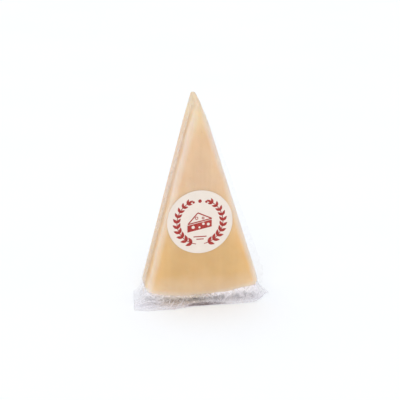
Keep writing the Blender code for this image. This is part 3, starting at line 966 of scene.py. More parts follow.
WING_FRONT = -6.0 * MM            # and how far in front of the middle its end lies
COLLAR = 2.6 * MM                 # how far above the rind the film leaves the wedge,
COLLAR_WAVE = 0.9 * MM            # how unevenly,
COLLAR_PITCH = 5.0 * MM           # how far apart its waves are,
COLLAR_START = 0.3 * MM           # and its clearance from the paste there
COLLAR_AIM = (0.86, 0.6)          # rays that look for the paste aim inside the footprint by these shares,
COLLAR_FROM = 1.3                 # and come from outside the hem by this one
UNDER_TO = 0.8                    # how far towards the footprint's ends the film under the wedge begins
HEM_RIM = 0.3 * MM                # height of the hem over the floor
UNDERSIDE = 0.1 * MM              # and of the film under the wedge
SPREAD_POWER = 2.0                # how the film falls away where it spreads out
HANG_POWER = 1.5                  # and where it hangs
SWELL_RANGE = (0.04, 0.94)        # the part of a half wave that the folds' height follows down a row,
SWELL_POWER = 0.6                 # and how blunt that wave is
SIDE_SHARES = (0.46, 0.10, 0.34, 0.10)      # front, right end, back and left end of each closed row
FOOT_COLUMNS = 760
FOOT_ROWS = 44
UNDER_ROWS = 14
FOOT_SPAN = 60.0 * MM             # the next three go from this far left of the plumb line, at 0, to as
FOOT_HAZE = (                     # far right of it, at 1.  How milky the foot's film is,
    (0.06, 0.08), (0.13, 0.18), (0.20, 0.34), (0.27, 0.34), (0.34, 0.30), (0.48, 0.28),
    (0.56, 0.36), (0.64, 0.52), (0.78, 0.52), (0.87, 0.34), (0.97, 0.10),
)
FOOT_GREY = (                     # how far it takes on the steep film's tint
    # Greyest in front of the middle: partly gathered layers of film, partly painted shade of the wedge on
    # the floor under it.
    (0.06, 0.1), (0.16, 0.3), (0.26, 0.5), (0.34, 0.9),
    (0.52, 0.9), (0.61, 0.40), (0.70, 0.14), (0.80, 0.06),
)
FOOT_WARM = ((0.22, 0.0), (0.32, 1.0), (0.48, 1.0), (0.60, 0.0))            # and how far it takes on a painted warm shade
FOLD_DEPTH = 0.6                  # the folds run longer from front to back, by 1 over this
SMALL_DEPTH = 0.5                 # and the small ones by 1 over this
SMALL_PITCH = 0.42                # the small folds' pitch,
SMALL_HEIGHT = 0.25               # and their height, as shares of the large ones'
FLAP_STRETCH = 0.3                # the flap's folds run longer sideways, by 1 over this
FLAP_PITCH = 0.5                  # their pitch
FLAP_HEIGHT = 0.6                 # and height, as shares of the others'
TUCK_LEFT, TUCK_RIGHT = -9.5 * MM, 22.0 * MM          # the ends of the tucked roll, which is tinted dark to paint the contact shadow
TUCK_DEPTH = 2.6 * MM             # half its size from front to back
TUCK_HEIGHT = 0.5 * MM            # and half its height
TUCK_LEAN = 0.72                  # under 1, the roll is fattest left of its middle
TUCK_WAVE = 0.15                  # how unevenly fat it is, as a share,
TUCK_PITCH = 1.5 * MM             # and how far apart its waves are
TUCK_LEAST = 0.06                 # how thin the roll's ends are, beside its middle
TUCK_PAST_HEM = 0.3 * MM          # how far its front goes past the hem
TUCK_ROWS = 80
TUCK_COLUMNS = 16
CREASES = (                       # single sharp folds in front, in mm: from, to, height, half-width
    ((-12.5, -14.5), (-24.5, -25.5), 1.7, 0.9),
    ((-9.0, -15.0), (-18.5, -24.0), 1.3, 0.8),
    ((12.5, -14.0), (17.5, -17.5), 1.1, 0.8),
    ((23.5, -14.0), (17.5, -17.5), 1.1, 0.8),
    ((-46.0, -21.0), (-27.0, -24.0), 0.7, 0.9),
    ((-44.0, -15.0), (-24.0, -18.5), 0.8, 0.9),
)
CREASE_FADE = 4.0                 # they rise and fall over 1 of this many parts of their length


def rind_height(x):
    """Height of the rind over the floor, right of the point's plumb line by x."""
    reach = min(max(x, FOOT_LEFT), FOOT_RIGHT)
    return CHEESE_LOW.z + WHEEL_RADIUS - math.sqrt(WHEEL_RADIUS ** 2 - reach ** 2)


def flap_share(x):
    """1 in the flap at the left, 0 right of its slanting end."""
    start, end = FLAP_CUT
    return 1.0 - min(max((x - start) / (end - start), 0.0), 1.0)


def hem_front(x):
    """The front hem: a flap at the left, a close curtain, and a rounded wing at the right."""
    reach = mix(CURTAIN_REACH, WING_REACH, smoothstep(WING_START, WING_FULL, x))
    reach = mix(reach, FLAP_REACH, flap_share(x))
    reach *= 1.0 + FRONT_WAVE * flutter(x, FRONT_PITCH, 11.0)
    corner = 1.0 - smoothstep(HEM_LEFT, FOOT_LEFT + CORNER_ROUND, x)
    hem = mix(-HALF_THICKNESS - reach, -HALF_THICKNESS - CORNER_REACH, corner)
    return mix(hem, WING_FRONT, smoothstep(WING_ROUND, HEM_RIGHT, x) ** 2)


def hem_back(x):
    """The back hem, which rounds towards both ends."""
    reach = BACK_REACH * (1.0 + BACK_WAVE * flutter(x, BACK_PITCH, 23.0))
    left = 1.0 - smoothstep(HEM_LEFT, FOOT_LEFT + BACK_ROUND, x)
    right = smoothstep(FOOT_RIGHT - BACK_ROUND, HEM_RIGHT, x)
    return mix(HALF_THICKNESS + reach, BACK_CORNER, max(left, right) ** 2)


def foot_plan(turn):
    """Where the film leaves the wedge and where its hem lies, for a turn round the wedge."""
    front, right, back, left = SIDE_SHARES
    if turn < front:
        part = turn / front
        x = mix(HEM_LEFT, HEM_RIGHT, part)
        return (mix(FOOT_LEFT, FOOT_RIGHT, part), -HALF_THICKNESS), (x, hem_front(x))
    if turn < front + right:
        part = (turn - front) / right
        x = HEM_RIGHT - WING_DRAW * part
        y = mix(hem_front(HEM_RIGHT), hem_back(HEM_RIGHT - WING_DRAW), part)
        return (FOOT_RIGHT, mix(-HALF_THICKNESS, HALF_THICKNESS, part)), (x, y)
    if turn < front + right + back:
        part = (turn - front - right) / back
        x = mix(HEM_RIGHT - WING_DRAW, HEM_LEFT + WING_DRAW, part)
        return (mix(FOOT_RIGHT, FOOT_LEFT, part), HALF_THICKNESS), (x, hem_back(x))
    part = (turn - front - right - back) / left
    x = mix(HEM_LEFT + WING_DRAW, HEM_LEFT, part)
    y = mix(hem_back(HEM_LEFT + WING_DRAW), hem_front(HEM_LEFT), part)
    return (FOOT_LEFT, mix(HALF_THICKNESS, -HALF_THICKNESS, part)), (x, y)


def hanging_share(x, y):
    """1 where the film hangs almost straight in front of the rind, 0 where it spreads out."""
    if y > -HALF_THICKNESS:
        return 0.0
    wing = smoothstep(WING_START, WING_FULL, x)
    return (1.0 - flap_share(x)) * (1.0 - WING_SPREAD * wing)


def crease_lift(x, y):
    """Height of the single sharp folds: the highest one at this place."""
    lift = 0.0
    for start, end, height, half_width in CREASES:
        start, end = Vector(start) * MM, Vector(end) * MM
        way = end - start
        part = (Vector((x, y)) - start).dot(way) / way.length_squared
        if 0.0 < part < 1.0:
            away = (Vector((x, y)) - start - way * part).length / (half_width * MM)
            fade = min(1.0, CREASE_FADE * part, CREASE_FADE * (1.0 - part))
            lift = max(lift, height * MM * (1.0 - away) * fade)
    return lift


def fold_lift(x, y, cfg):
    """Height of the foot's folds: long and level in the flap, crossing elsewhere."""
    flap = flap_share(x) if y < 0.0 else 0.0
    along = x * mix(1.0, FLAP_STRETCH, flap)
    large = facets(along, FOLD_DEPTH * y, cfg.fold_pitch * mix(1.0, FLAP_PITCH, flap), 3.0)
    small = facets(along, SMALL_DEPTH * y, SMALL_PITCH * cfg.fold_pitch, 8.3)
    height = cfg.fold_height * mix(1.0, FLAP_HEIGHT, flap)
    return height * (large + SMALL_HEIGHT * small) + crease_lift(x, y)


def collar_point(tree, leave, hem):
    """Where the film leaves the wedge, found by a ray from outside the hem."""
    height = rind_height(leave[0]) + COLLAR + COLLAR_WAVE * drift(*leave, COLLAR_PITCH, 2.0)
    target = Vector((WHEEL_X + COLLAR_AIM[0] * leave[0], MID_Y + COLLAR_AIM[1] * leave[1], height))
    source = Vector((WHEEL_X + COLLAR_FROM * hem[0], MID_Y + COLLAR_FROM * hem[1], height))
    way = (target - source).normalized()
    hit = tree.ray_cast(source, way)[0]
    if hit is None:
        raise RuntimeError("the foot's collar misses the wedge")
    return hit + way * COLLAR_START


def foot_points(tree, cfg):
    """Rows of points from the wedge down to the hem and back under, each row a closed loop."""
    rows = [[] for _ in range(FOOT_ROWS + UNDER_ROWS)]
    for column in range(FOOT_COLUMNS):
        leave, hem = foot_plan(column / FOOT_COLUMNS)
        start = collar_point(tree, leave, hem)
        edge = Vector((WHEEL_X + hem[0], MID_Y + hem[1], HEM_RIM))
        hanging = hanging_share(*hem)
        for row in range(FOOT_ROWS):
            part = row / (FOOT_ROWS - 1)
            plan = start.lerp(edge, part)
            slope = mix((1.0 - part) ** SPREAD_POWER, 1.0 - part ** HANG_POWER, hanging)
            swell = math.sin(math.pi * mix(*SWELL_RANGE, part)) ** SWELL_POWER
            lift = fold_lift(plan.x - WHEEL_X, plan.y - MID_Y, cfg) - 0.5 * cfg.fold_height
            z = mix(edge.z, start.z, slope) + lift * swell
            rows[row].append(Vector((plan.x, plan.y, max(z, HEM_RIM))))
        edge = rows[FOOT_ROWS - 1][-1]
        middle = Vector((WHEEL_X + UNDER_TO * leave[0], MID_Y, 0.0))
        for row in range(UNDER_ROWS):
            part = (row + 1) / UNDER_ROWS
            plan = edge.lerp(middle, part)
            rest = (1.0 - part) ** 3 * (edge.z - UNDERSIDE)
            rows[FOOT_ROWS + row].append(Vector((plan.x, plan.y, UNDERSIDE + rest)))
    return [point for row in rows for point in row]


def crease_lines(nodes, place, scale, width):
    """1 along the crooked lines between cells of a pattern, 0 in the cells, and a tone per cell."""
    edges = nodes.add("ShaderNodeTexVoronoi", {"Scale": scale}, feature="DISTANCE_TO_EDGE")
    cells = nodes.add("ShaderNodeTexVoronoi", {"Scale": scale})
    nodes.join(place, edges, "Vector")
    nodes.join(place, cells, "Vector")
    tone = nodes.add("ShaderNodeSeparateColor")
    nodes.join(cells.outputs["Color"], tone, "Color")
    return nodes.level(edges.outputs["Distance"], 0.0, width, 1.0, 0.0), tone.outputs["Red"]


def foot_creases(nodes, x, axes):
    """Crease lines on the foot as a socket, and the tones of the large and small cells between."""
    flap_end = 0.5 * (FLAP_CUT[0] + FLAP_CUT[1])
    drawn = nodes.times(nodes.math("MINIMUM", x, flap_end), FLAP_STRETCH)
    drawn = nodes.plus(drawn, nodes.math("MAXIMUM", x, flap_end))
    sway = nodes.sway(scale=130.0, reach=1.4 * MM)
    place = nodes.add("ShaderNodeCombineXYZ")
    nodes.join(nodes.plus(drawn, sway), place, "X")
    nodes.join(nodes.plus(nodes.times(axes["Y"], 0.4), sway), place, "Y")
    nodes.join(axes["Z"], place, "Z")
    large_line, large_tone = crease_lines(nodes, place.outputs["Vector"], scale=200.0, width=0.12)
    small_line, small_tone = crease_lines(nodes, place.outputs["Vector"], scale=360.0, width=0.16)
    return nodes.math("MAXIMUM", large_line, nodes.times(small_line, 0.4)), large_tone, small_tone


def foot_material(cfg):
    """The foot's film: greyer where it stands steep to the eye, white along its sharp creases.

    Under the rind's front it takes on a warm tint in the middle, painted shade of the rind's underside, and
    is less grey and more milky, painted light that lifts the shade there.
    """
    nodes = Nodes("clear_film_foot")
    axes = nodes.axes()
    x = nodes.math("SUBTRACT", axes["X"], WHEEL_X)
    lines, large_tone, small_tone = foot_creases(nodes, x, axes)

    along = nodes.level(x, -FOOT_SPAN, FOOT_SPAN)
    front = MID_Y - HALF_THICKNESS
    under = nodes.level(axes["Y"], front - CURTAIN_REACH, front)
    behind = nodes.level(axes["Y"], front, MID_Y, 1.0, 0.2)
    milky = nodes.times(nodes.level_ramp(along, FOOT_HAZE), behind)
    # Right under the rind's front the film is made milkier and less grey: painted light that lifts the
    # shade under the wedge.
    milky = nodes.times(milky, nodes.level(under, 0.4, 1.0, 0.7, 2.6))
    greyed = nodes.times(nodes.level_ramp(along, FOOT_GREY), behind)
    greyed = nodes.times(greyed, nodes.level(under, 0.2, 1.0, 1.1, 0.4))
    # A warm tint in the middle under the rind's front: painted shade of the rind's underside.
    warm_shade = nodes.times(nodes.level_ramp(along, FOOT_WARM), under)

    clear = nodes.add("ShaderNodeBsdfTransparent")
    film, facing = film_shine(nodes, clear, gloss=0.08, head_on=0.02, at_glance=0.25)
    steep = nodes.times(nodes.level(facing, 0.35, 0.95, 0.0, 0.8), greyed)
    grey = nodes.times(nodes.level(large_tone, 0.5, 1.0, 0.0, 0.5), greyed)
    let = nodes.tint(cfg.clear, cfg.steep, nodes.plus(steep, grey))
    let = nodes.stain_or_shade(let, cfg.warm_shade, warm_shade)
    from_centre = nodes.distance((WHEEL_X, 0.0, WHEEL_Z))
    below = nodes.level(from_centre, WHEEL_RADIUS - 1.2 * MM, WHEEL_RADIUS + 0.4 * MM)
    nodes.join(nodes.tint(cfg.clear, let, below), clear, "Color")

    # The light the film scatters there takes the same warm tint: painted shade.
    milk = film_milk(nodes, nodes.tint(cfg.haze, cfg.warm_shade, warm_shade), onwards=0.2)
    lines = nodes.times(lines, nodes.level(along, 0.56, 0.68, 1.0, 0.35))
    scatter = nodes.plus(nodes.times(lines, 0.6), nodes.level(small_tone, 0.2, 1.0, 0.5, 1.0))
    return nodes.finish(nodes.mix_shader(film, milk, nodes.times(scatter, milky)))


class CHEESE_OT_add_foot(bpy.types.Operator):
    """Add the crumpled foot of loose film that the wedge stands in"""
    bl_idname = "cheese.add_foot"
    bl_label = "Add the crumpled foot"

    def execute(self, context):
        cfg = context.scene.cheese_film
        points = foot_points(feeler("cheese_wedge", context), cfg)
        faces = lattice(FOOT_ROWS + UNDER_ROWS, FOOT_COLUMNS, closed=True)
        piece = add_piece("film_foot", points, faces, foot_material(cfg))
        finish_piece(piece, "film")
        return {"FINISHED"}


class CHEESE_OT_add_tuck_shadow(bpy.types.Operator):
    """Add the layers of film tucked in under the front of the rind, a flat roll on the floor, tinted dark
    to paint the contact shadow under the hem
    """
    bl_idname = "cheese.add_tuck"
    bl_label = "Add the tucked film"

    def execute(self, context):
        cfg = context.scene.cheese_film
        points = []
        for row in range(TUCK_ROWS):
            part = row / (TUCK_ROWS - 1)
            x = mix(TUCK_LEFT, TUCK_RIGHT, part)
            fat = max(TUCK_LEAST, math.sin(math.pi * part ** TUCK_LEAN))
            fat *= 1.0 + TUCK_WAVE * flutter(x, TUCK_PITCH, 31.0)
            y = hem_front(x) + TUCK_DEPTH - TUCK_PAST_HEM
            for column in range(TUCK_COLUMNS):
                turn = -2.0 * math.pi * column / TUCK_COLUMNS
                depth = TUCK_DEPTH * fat * math.cos(turn)
                rise = TUCK_HEIGHT * fat * (1.0 + math.sin(turn))
                points.append((WHEEL_X + x, MID_Y + y + depth, HEM_RIM + rise))
        layers = layered_material("clear_film_tuck", cfg.tuck, scale=300.0, gloss=0.15, mirror=0.05)
        piece = add_piece("film_tuck", points, tube(TUCK_ROWS, TUCK_COLUMNS), layers)
        finish_piece(piece, "film")
        return {"FINISHED"}


PLEATS = (                        # folds pressed flat, in mm: from, to, width
    ((-19.0, -17.0), (-24.5, -24.8), 1.5),
    ((-22.0, -16.4), (-28.0, -24.4), 1.1),
    ((-12.0, -18.0), (-18.0, -23.6), 0.8),
    ((12.0, -14.6), (17.5, -20.5), 1.1),
    ((24.5, -15.0), (17.5, -20.5), 1.1),
    ((7.0, -14.6), (11.0, -19.0), 0.8),
    ((30.0, -14.5), (36.0, -20.0), 0.9),
    ((41.0, -11.0), (46.5, -16.0), 1.0),
    ((-49.0, -20.6), (-24.0, -22.4), 1.0),
    ((-47.5, -16.6), (-31.0, -18.2), 0.8),
    ((-48.0, -12.0), (-42.0, -14.5), 0.8),
)
PLEAT_STEPS = 24
PLEAT_ACROSS = 5                  # points across a pleat
PLEAT_SWAY = 0.6 * MM             # how far it wanders off its straight line
PLEAT_START = 0.12 * MM           # the clearance of its sides from the foot,
PLEAT_ARCH = 0.32 * MM            # and how much further its middle stands off
PLEAT_LEAST_ROWS = 4              # a pleat with fewer rows lies off the foot
DROP_HEIGHT = 60.0 * MM           # from here the foot's height is felt for, straight down


def pleat_points(tree, start, end, width):
    """Rows of points across a low arched ribbon that lies on the foot."""
    start, end = Vector(start) * MM, Vector(end) * MM
    way = (end - start).normalized()
    aside = Vector((-way.y, way.x))
    rows = []
    for step in range(PLEAT_STEPS + 1):
        part = step / PLEAT_STEPS
        sway = PLEAT_SWAY * ripple(start.x / MM + 3.0 * part, start.y / MM, 1.7)
        middle = start.lerp(end, part) + aside * sway
        half = 0.5 * width * MM * max(0.1, math.sin(math.pi * part)) ** 0.5
        row = []
        for column in range(PLEAT_ACROSS):
            side = 2.0 * column / (PLEAT_ACROSS - 1) - 1.0
            spot = middle + aside * (side * half)
            above = Vector((WHEEL_X + spot.x, MID_Y + spot.y, DROP_HEIGHT))
            hit = tree.ray_cast(above, Vector((0.0, 0.0, -1.0)))[0]
            if hit is None:
                return rows
            row.append(hit + Vector((0.0, 0.0, PLEAT_START + PLEAT_ARCH * (1.0 - side * side))))
        rows.append(row)
    return rows


class CHEESE_OT_add_pleats(bpy.types.Operator):
    """Add the foot's pleats, narrow folds of film pressed flat on it"""
    bl_idname = "cheese.add_pleats"
    bl_label = "Add the pleats"

    def execute(self, context):
        cfg = context.scene.cheese_film
        tree = feeler("film_foot", context)
        points, faces = [], []
        for start, end, width in PLEATS:
            rows = pleat_points(tree, start, end, width)
            if len(rows) < PLEAT_LEAST_ROWS:
                raise RuntimeError(f"the pleat from {start} lies off the foot")
            faces += lattice(len(rows), PLEAT_ACROSS, first=len(points))
            points += [point for row in rows for point in row]
        material = film_material("clear_film_pleat", cfg, haze=(0.35, 0.75), gloss=0.15, head_on=0.05,
                                 at_glance=0.5)
        piece = add_piece("film_pleats", points, faces, material)
        finish_piece(piece, "film")
        return {"FINISHED"}


# ---- Label ----------------------------------------------------------------------------------
PAPER_RINGS = 34
PAPER_SPOKES = 180
PRINT_GLOSS = {"Specular IOR Level": 0.35}
PAPER_RIM = 0.12 * MM             # rounding of the paper's cut edge
RIM_STEPS = 4
PAPER_BOW = 0.05 * MM             # how far the paper bows, and as much again at its edge
BOW_PITCH = 16.0 * MM


def paper_material(cfg):
    nodes = Nodes("label_paper")
    fibre = nodes.patches(scale=1900.0, detail=4.0)
    cloud = nodes.patches(scale=160.0, detail=3.0)
    tone = nodes.tint(cfg.paper, [0.955 * c for c in cfg.paper], nodes.times(cloud, 0.8))
    tone = nodes.stain_or_shade(tone, (1.05, 1.05, 1.05), fibre)
    normal = nodes.bump(nodes.noise(scale=1900.0, detail=4.0), height=0.02 * MM, strength=0.7)
    return nodes.finish_opaque(tone, nodes.level(cloud, 0.0, 1.0, 0.48, 0.6), PRINT_GLOSS, normal)


def ink_material(cfg):
    nodes = Nodes("label_ink")
    patchy = nodes.patches(scale=900.0, detail=4.0, low=0.4, high=0.75)
    tone = nodes.tint(cfg.ink, [min(1.0, 1.35 * c + 0.02) for c in cfg.ink], patchy)
    return nodes.finish_opaque(tone, nodes.level(patchy, 0.0, 1.0, 0.42, 0.6), PRINT_GLOSS)


def paper_wave(x, z):
    """How far the label's paper bows back towards the film, in metres."""
    edge = math.hypot(x, z) / LABEL_RADIUS
    wave = 0.5 + 0.5 * drift(x, z, BOW_PITCH, 6.0)
    return PAPER_BOW * (wave + edge ** 6)


class CHEESE_OT_add_label(bpy.types.Operator):
    """Add the round paper label, with a soft cut edge and a slight bow"""
    bl_idname = "cheese.add_label"
    bl_label = "Add the label"

    def execute(self, context):
        cfg = context.scene.cheese_label
        front, back = LABEL_LOW.y, LABEL_HIGH.y
        profile = [(LABEL_RADIUS * r / PAPER_RINGS, front) for r in range(1, PAPER_RINGS)]
        for step in range(RIM_STEPS + 1):
            turn = 0.5 * math.pi * step / RIM_STEPS
            radius = LABEL_RADIUS - PAPER_RIM * (1.0 - math.sin(turn))
            profile.append((radius, front + PAPER_RIM * (1.0 - math.cos(turn))))
        profile.append((LABEL_RADIUS, back))
        profile += [(LABEL_RADIUS * r / PAPER_RINGS, back) for r in range(PAPER_RINGS - 1, 0, -1)]
        points = []
        for radius, y in profile:
            for spoke in range(PAPER_SPOKES):
                turn = 2.0 * math.pi * spoke / PAPER_SPOKES
                x, z = radius * math.cos(turn), radius * math.sin(turn)
                bow = paper_wave(x, z) if y < back else 0.0
                points.append((LABEL_CENTRE.x + x, y + bow, LABEL_CENTRE.z + z))
        faces = tube(len(profile), PAPER_SPOKES)
        piece = add_piece("label_paper", points, faces, paper_material(cfg))
        finish_piece(piece, "label")
        return {"FINISHED"}


WREATH_START = math.radians(-80.0)          # the branches: from the bottom of the label
WREATH_END = math.radians(60.0)             # up to here on each side
STEM_POINTS = 48
STEM_WIDTH = 0.6 * MM
LEAF_PAIRS = 10
LEAF_LOW = 5.6 * MM               # length of the lowest leaves
LEAF_HIGH = 4.2 * MM              # and of the highest
LEAF_TURN = 0.66                  # how far the leaves stand off their stem, in radians
LEAF_WIDTH = 0.44                 # a leaf's width as a share of its length
TIP_LEAF_WIDTH = 1.8 * MM         # and the width of the single leaf at the branch's end
LEAF_POINTS = 11
LEAF_PLACE = 0.7                  # how far up its share of the stem a pair of leaves sits
LEAF_BELLY = 0.85                 # under 1, a leaf is widest nearer to its foot
DOTS = ((-17.0, 0.95), (0.0, 1.35), (17.0, 0.95))     # over the middle: degrees aside, radius in mm
DOTS_RADIUS = 16.6 * MM
BARS = ((-11.6, 5.0), (-13.6, 2.8))         # under the cut cheese, in mm: height and half-length
BAR_WIDTH = 0.8 * MM
SIGN_TOP = ((-9.2, -1.4), (9.0, 2.4), (-1.6, 7.4))    # the cut cheese: the corners of its top, in mm,
SIGN_DROP = (0.0, -6.4)           # the way down its side, in mm,
SIGN_LINE = 0.9 * MM              # its line,
RING_LINE = 0.55 * MM             # the line of the openings in its top,
SIGN_GAP = 0.14                   # the free share of its side, under the top,
SIGN_HOLES = ((-5.2, -3.9, 1.25), (-0.4, -4.2, 0.8), (2.6, -1.5, 1.0), (6.4, -2.0, 1.15))
SIGN_RINGS = ((-2.6, 3.2, 1.0), (2.4, 3.1, 0.75))     # and the openings in its side and top, in mm


class Print:
    """Collects flat printed shapes on the label, in metres from its centre."""

    def __init__(self, rise):
        self.rise = rise
        self.points = []
        self.faces = []

    def shape(self, outline):
        """A filled outline, cut into a fan from its middle."""
        start = len(self.points)
        middle = np.mean(np.asarray(outline), axis=0)
        self.points += [tuple(middle)] + [tuple(p) for p in outline]
        count = len(outline)
        self.faces += [(start, start + 1 + i, start + 1 + (i + 1) % count) for i in range(count)]

    def cut_shape(self, outline, holes):
        """A filled outline with holes in it."""
        loops = [[Vector((x, z, 0.0)) for x, z in loop] for loop in (outline, *holes)]
        start = len(self.points)
        self.points += [(corner.x, corner.y) for loop in loops for corner in loop]
        self.faces += [tuple(start + i for i in face) for face in tessellate_polygon(loops)]

    def stroke(self, line, width, closed=False):
        """A line of even width through the given points."""
        line = np.asarray(line, float)
        count = len(line)
        before = np.roll(line, 1, 0) if closed else np.vstack((line[:1], line[:-1]))
        after = np.roll(line, -1, 0) if closed else np.vstack((line[1:], line[-1:]))
        way = after - before
        way /= np.linalg.norm(way, axis=1)[:, None]
        aside = np.stack((-way[:, 1], way[:, 0]), 1) * 0.5 * width
        start = len(self.points)
        for point, offset in zip(line, aside):
            self.points += [tuple(point + offset), tuple(point - offset)]
        for i in range(count if closed else count - 1):
            j = (i + 1) % count
            self.faces.append((start + 2 * i, start + 2 * j, start + 2 * j + 1, start + 2 * i + 1))

    def circle(self, centre, radius, width=None, steps=24):
        outline = arc(centre, radius, 0.0, 2.0 * math.pi, steps)[:-1]
        if width is None:
            self.shape(outline)
        else:
            self.stroke(outline, width, closed=True)

    def piece(self, name, material):
        placed = []
        for x, z in self.points:
            y = LABEL_LOW.y + paper_wave(x, z) - self.rise
            placed.append((LABEL_CENTRE.x + x, y, LABEL_CENTRE.z + z))
        made = add_piece(name, placed, self.faces, material, smooth=False)
        tidy = bmesh.new()
        tidy.from_mesh(made.data)
        for face in tidy.faces:
            if face.normal.y > 0.0:
                face.normal_flip()
        tidy.to_mesh(made.data)
        tidy.free()
        return made


def leaf(centre, direction, size, width):
    """A pointed leaf, its foot at the given place."""
    along = np.array((math.cos(direction), math.sin(direction)))
    aside = np.array((-along[1], along[0]))
    parts = np.linspace(0.0, 1.0, LEAF_POINTS)
    swell = np.sin(math.pi * parts ** LEAF_BELLY) * 0.5 * width
    upper = [centre + along * size * t + aside * s for t, s in zip(parts, swell)]
    lower = [centre + along * size * t - aside * s for t, s in zip(parts[-2:0:-1], swell[-2:0:-1])]
    return upper + lower


def print_wreath(sheet, radius, side):
    """One leafy branch, from the bottom of the label up along one side."""
    def on_stem(angle):
        return np.array((side * radius * math.cos(angle), radius * math.sin(angle)))

    def up_stem(angle):
        return angle + 0.5 * math.pi if side > 0 else 0.5 * math.pi - angle

    sheet.stroke([on_stem(a) for a in np.linspace(WREATH_START, WREATH_END, STEM_POINTS)], STEM_WIDTH)
    for i in range(LEAF_PAIRS):
        angle = mix(WREATH_START, WREATH_END, (i + LEAF_PLACE) / LEAF_PAIRS)
        size = mix(LEAF_LOW, LEAF_HIGH, i / (LEAF_PAIRS - 1))
        for turn in (LEAF_TURN, -LEAF_TURN):
            sheet.shape(leaf(on_stem(angle), up_stem(angle) + turn, size, LEAF_WIDTH * size))
    sheet.shape(leaf(on_stem(WREATH_END), up_stem(WREATH_END), LEAF_HIGH, TIP_LEAF_WIDTH))


def print_wedge_sign(sheet):
    """A small cut cheese: its side filled in with round openings left free, its top in line."""
    left, right, back = np.array(SIGN_TOP) * MM
    drop = np.array(SIGN_DROP) * MM
    top = SIGN_GAP * drop
    for first, second in ((left, back), (back, right), (left, right), (left + top, left + drop)):
        sheet.stroke(blend(first, second, np.linspace(0.0, 1.0, 9)), SIGN_LINE)
    openings = []
    for x, z, radius in SIGN_HOLES:
        openings.append(arc((x * MM, z * MM), radius * MM, 0.0, 2.0 * math.pi, 20)[:-1])
    sheet.cut_shape([left + top, left + drop, right + drop, right + top], openings)
    for x, z, radius in SIGN_RINGS:
        sheet.circle((x * MM, z * MM), radius * MM, RING_LINE)


class CHEESE_OT_add_print(bpy.types.Operator):
    """Add the label's print: two leafy branches, a small cut cheese, dots and bars"""
    bl_idname = "cheese.add_print"
    bl_label = "Add the print"

    def execute(self, context):
        cfg = context.scene.cheese_label
        sheet = Print(cfg.ink_rise)
        for side in (1, -1):
            print_wreath(sheet, cfg.wreath_radius, side)
        print_wedge_sign(sheet)
        for turn, size in DOTS:
            angle = math.radians(90.0 + turn)
            place = (DOTS_RADIUS * math.cos(angle), DOTS_RADIUS * math.sin(angle))
            sheet.circle(place, size * MM, steps=28)
        for z, half in BARS:
            sheet.stroke(np.array(((-half, z), (half, z))) * MM, BAR_WIDTH)
        piece = sheet.piece("label_print", ink_material(cfg))
        finish_piece(piece, "label")
        return {"FINISHED"}


# ---- Stage ----------------------------------------------------------------------------------
CAMERA_AZIMUTH, CAMERA_ELEVATION = 10.6, 18.45        # in degrees
AIM_RIGHT = 3.74 * MM             # the aim, right of the plumb line through the point
AIM_HEIGHT = 77.5 * MM
SENSOR_WIDTH = 36.0               # in millimetres, as the focal length
FLOOR_SIZE = 40.0                 # so large that its edge lies on the horizon
LAMPS = (                         # setting, name, azimuth, elevation and spread in degrees
    ("key", "key_left", 15.0, 45.0, 50.0),
    ("low", "low_left", 85.0, 8.0, 20.0),
    ("top", "top_back", 165.0, 72.0, 70.0),
)


def floor_material(cfg):
    nodes = Nodes("pale_floor")
    cloud = nodes.patches(scale=6.0, detail=2.0, low=0.3, high=0.7)
    tone = nodes.tint(cfg.floor, [0.985 * c for c in cfg.floor], cloud)
    return nodes.finish_opaque(tone, 0.8, {"Specular IOR Level": 0.1})


def way_out(azimuth, elevation):
    """A direction away from the wedge.  Azimuth 0 is the front, and positive is to the left."""
    turn, rise = math.radians(azimuth), math.radians(elevation)
    flat = math.cos(rise)
    return Vector((-math.sin(turn) * flat, -math.cos(turn) * flat, math.sin(rise)))


def soft_sun(name, azimuth, elevation, spread, strength):
    """A soft light from far off."""
    lamp = bpy.data.lights.new(name, "SUN")
    lamp.energy = strength
    lamp.angle = math.radians(spread)
    towards = way_out(azimuth, elevation)
    sun = bpy.data.objects.new(name, lamp)
    sun.location = towards
    sun.rotation_euler = towards.to_track_quat("Z", "Y").to_euler()
    bpy.context.scene.collection.objects.link(sun)


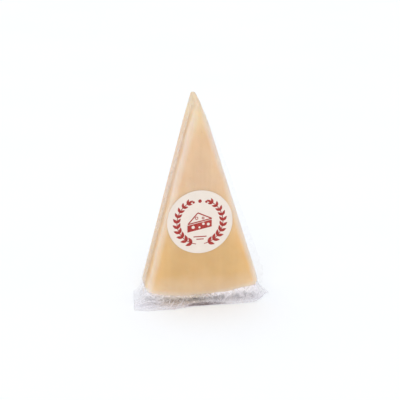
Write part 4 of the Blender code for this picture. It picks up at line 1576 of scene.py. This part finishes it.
class CHEESE_OT_add_stage(bpy.types.Operator):
    """Add the pale floor, the soft lights and the camera"""
    bl_idname = "cheese.add_stage"
    bl_label = "Add the stage"

    def execute(self, context):
        scene = context.scene
        cfg = scene.cheese_stage
        half = 0.5 * FLOOR_SIZE
        points = [(x * half, y * half, 0.0) for x, y in ((-1, -1), (1, -1), (1, 1), (-1, 1))]
        floor = add_piece("floor", points, [(0, 1, 2, 3)], floor_material(cfg), smooth=False)

        world = bpy.data.worlds.new("even_light")
        world.use_nodes = True
        sky = world.node_tree.nodes["Background"]
        sky.inputs["Color"].default_value = (1.0, 1.0, 1.0, 1.0)
        sky.inputs["Strength"].default_value = cfg.sky
        scene.world = world
        scene.view_settings.view_transform = "Standard"

        for setting, name, azimuth, elevation, spread in LAMPS:
            soft_sun(name, azimuth, elevation, spread, getattr(cfg, setting))

        lens = bpy.data.cameras.new("camera")
        lens.sensor_width = SENSOR_WIDTH
        lens.lens = cfg.camera_lens
        camera = bpy.data.objects.new("camera", lens)
        ahead = -way_out(CAMERA_AZIMUTH, CAMERA_ELEVATION)
        aim = Vector((WHEEL_X + AIM_RIGHT, MID_Y, AIM_HEIGHT))
        camera.location = aim - ahead * cfg.camera_distance
        camera.rotation_euler = ahead.to_track_quat("-Z", "Y").to_euler()
        scene.collection.objects.link(camera)
        scene.camera = camera
        return {"FINISHED"}


# ---- Add-on ---------------------------------------------------------------------------------
OPERATORS = (
    CHEESE_OT_add_wedge,
    CHEESE_OT_add_skin,
    CHEESE_OT_add_fins,
    CHEESE_OT_add_seam,
    CHEESE_OT_add_foot,
    CHEESE_OT_add_tuck_shadow,
    CHEESE_OT_add_pleats,
    CHEESE_OT_add_label,
    CHEESE_OT_add_print,
    CHEESE_OT_add_stage,
)
SETTINGS = {
    "cheese_wedge": CheeseSettings,
    "cheese_film": FilmSettings,
    "cheese_label": LabelSettings,
    "cheese_stage": StageSettings,
}


class VIEW3D_PT_cheese_wedge(bpy.types.Panel):
    bl_label = "Cheese wedge"
    bl_space_type = "VIEW_3D"
    bl_region_type = "UI"
    bl_category = "Cheese wedge"

    def draw(self, context):
        for operator in OPERATORS:
            self.layout.operator(operator.bl_idname)
        for name, group in SETTINGS.items():
            box = self.layout.box()
            for key in group.__annotations__:
                box.prop(getattr(context.scene, name), key)


CLASSES = (*SETTINGS.values(), *OPERATORS, VIEW3D_PT_cheese_wedge)


def register():
    for item in CLASSES:
        bpy.utils.register_class(item)
    for name, group in SETTINGS.items():
        setattr(bpy.types.Scene, name, bpy.props.PointerProperty(type=group))


def unregister():
    for name in SETTINGS:
        delattr(bpy.types.Scene, name)
    for item in reversed(CLASSES):
        bpy.utils.unregister_class(item)


def main():
    register()
    bpy.ops.cheese.add_wedge()
    bpy.ops.cheese.add_skin()
    bpy.ops.cheese.add_fins()
    bpy.ops.cheese.add_seam()
    bpy.ops.cheese.add_foot()
    bpy.ops.cheese.add_tuck()
    bpy.ops.cheese.add_pleats()
    bpy.ops.cheese.add_label()
    bpy.ops.cheese.add_print()
    bpy.ops.cheese.add_stage()


if __name__ == "__main__":
    main()
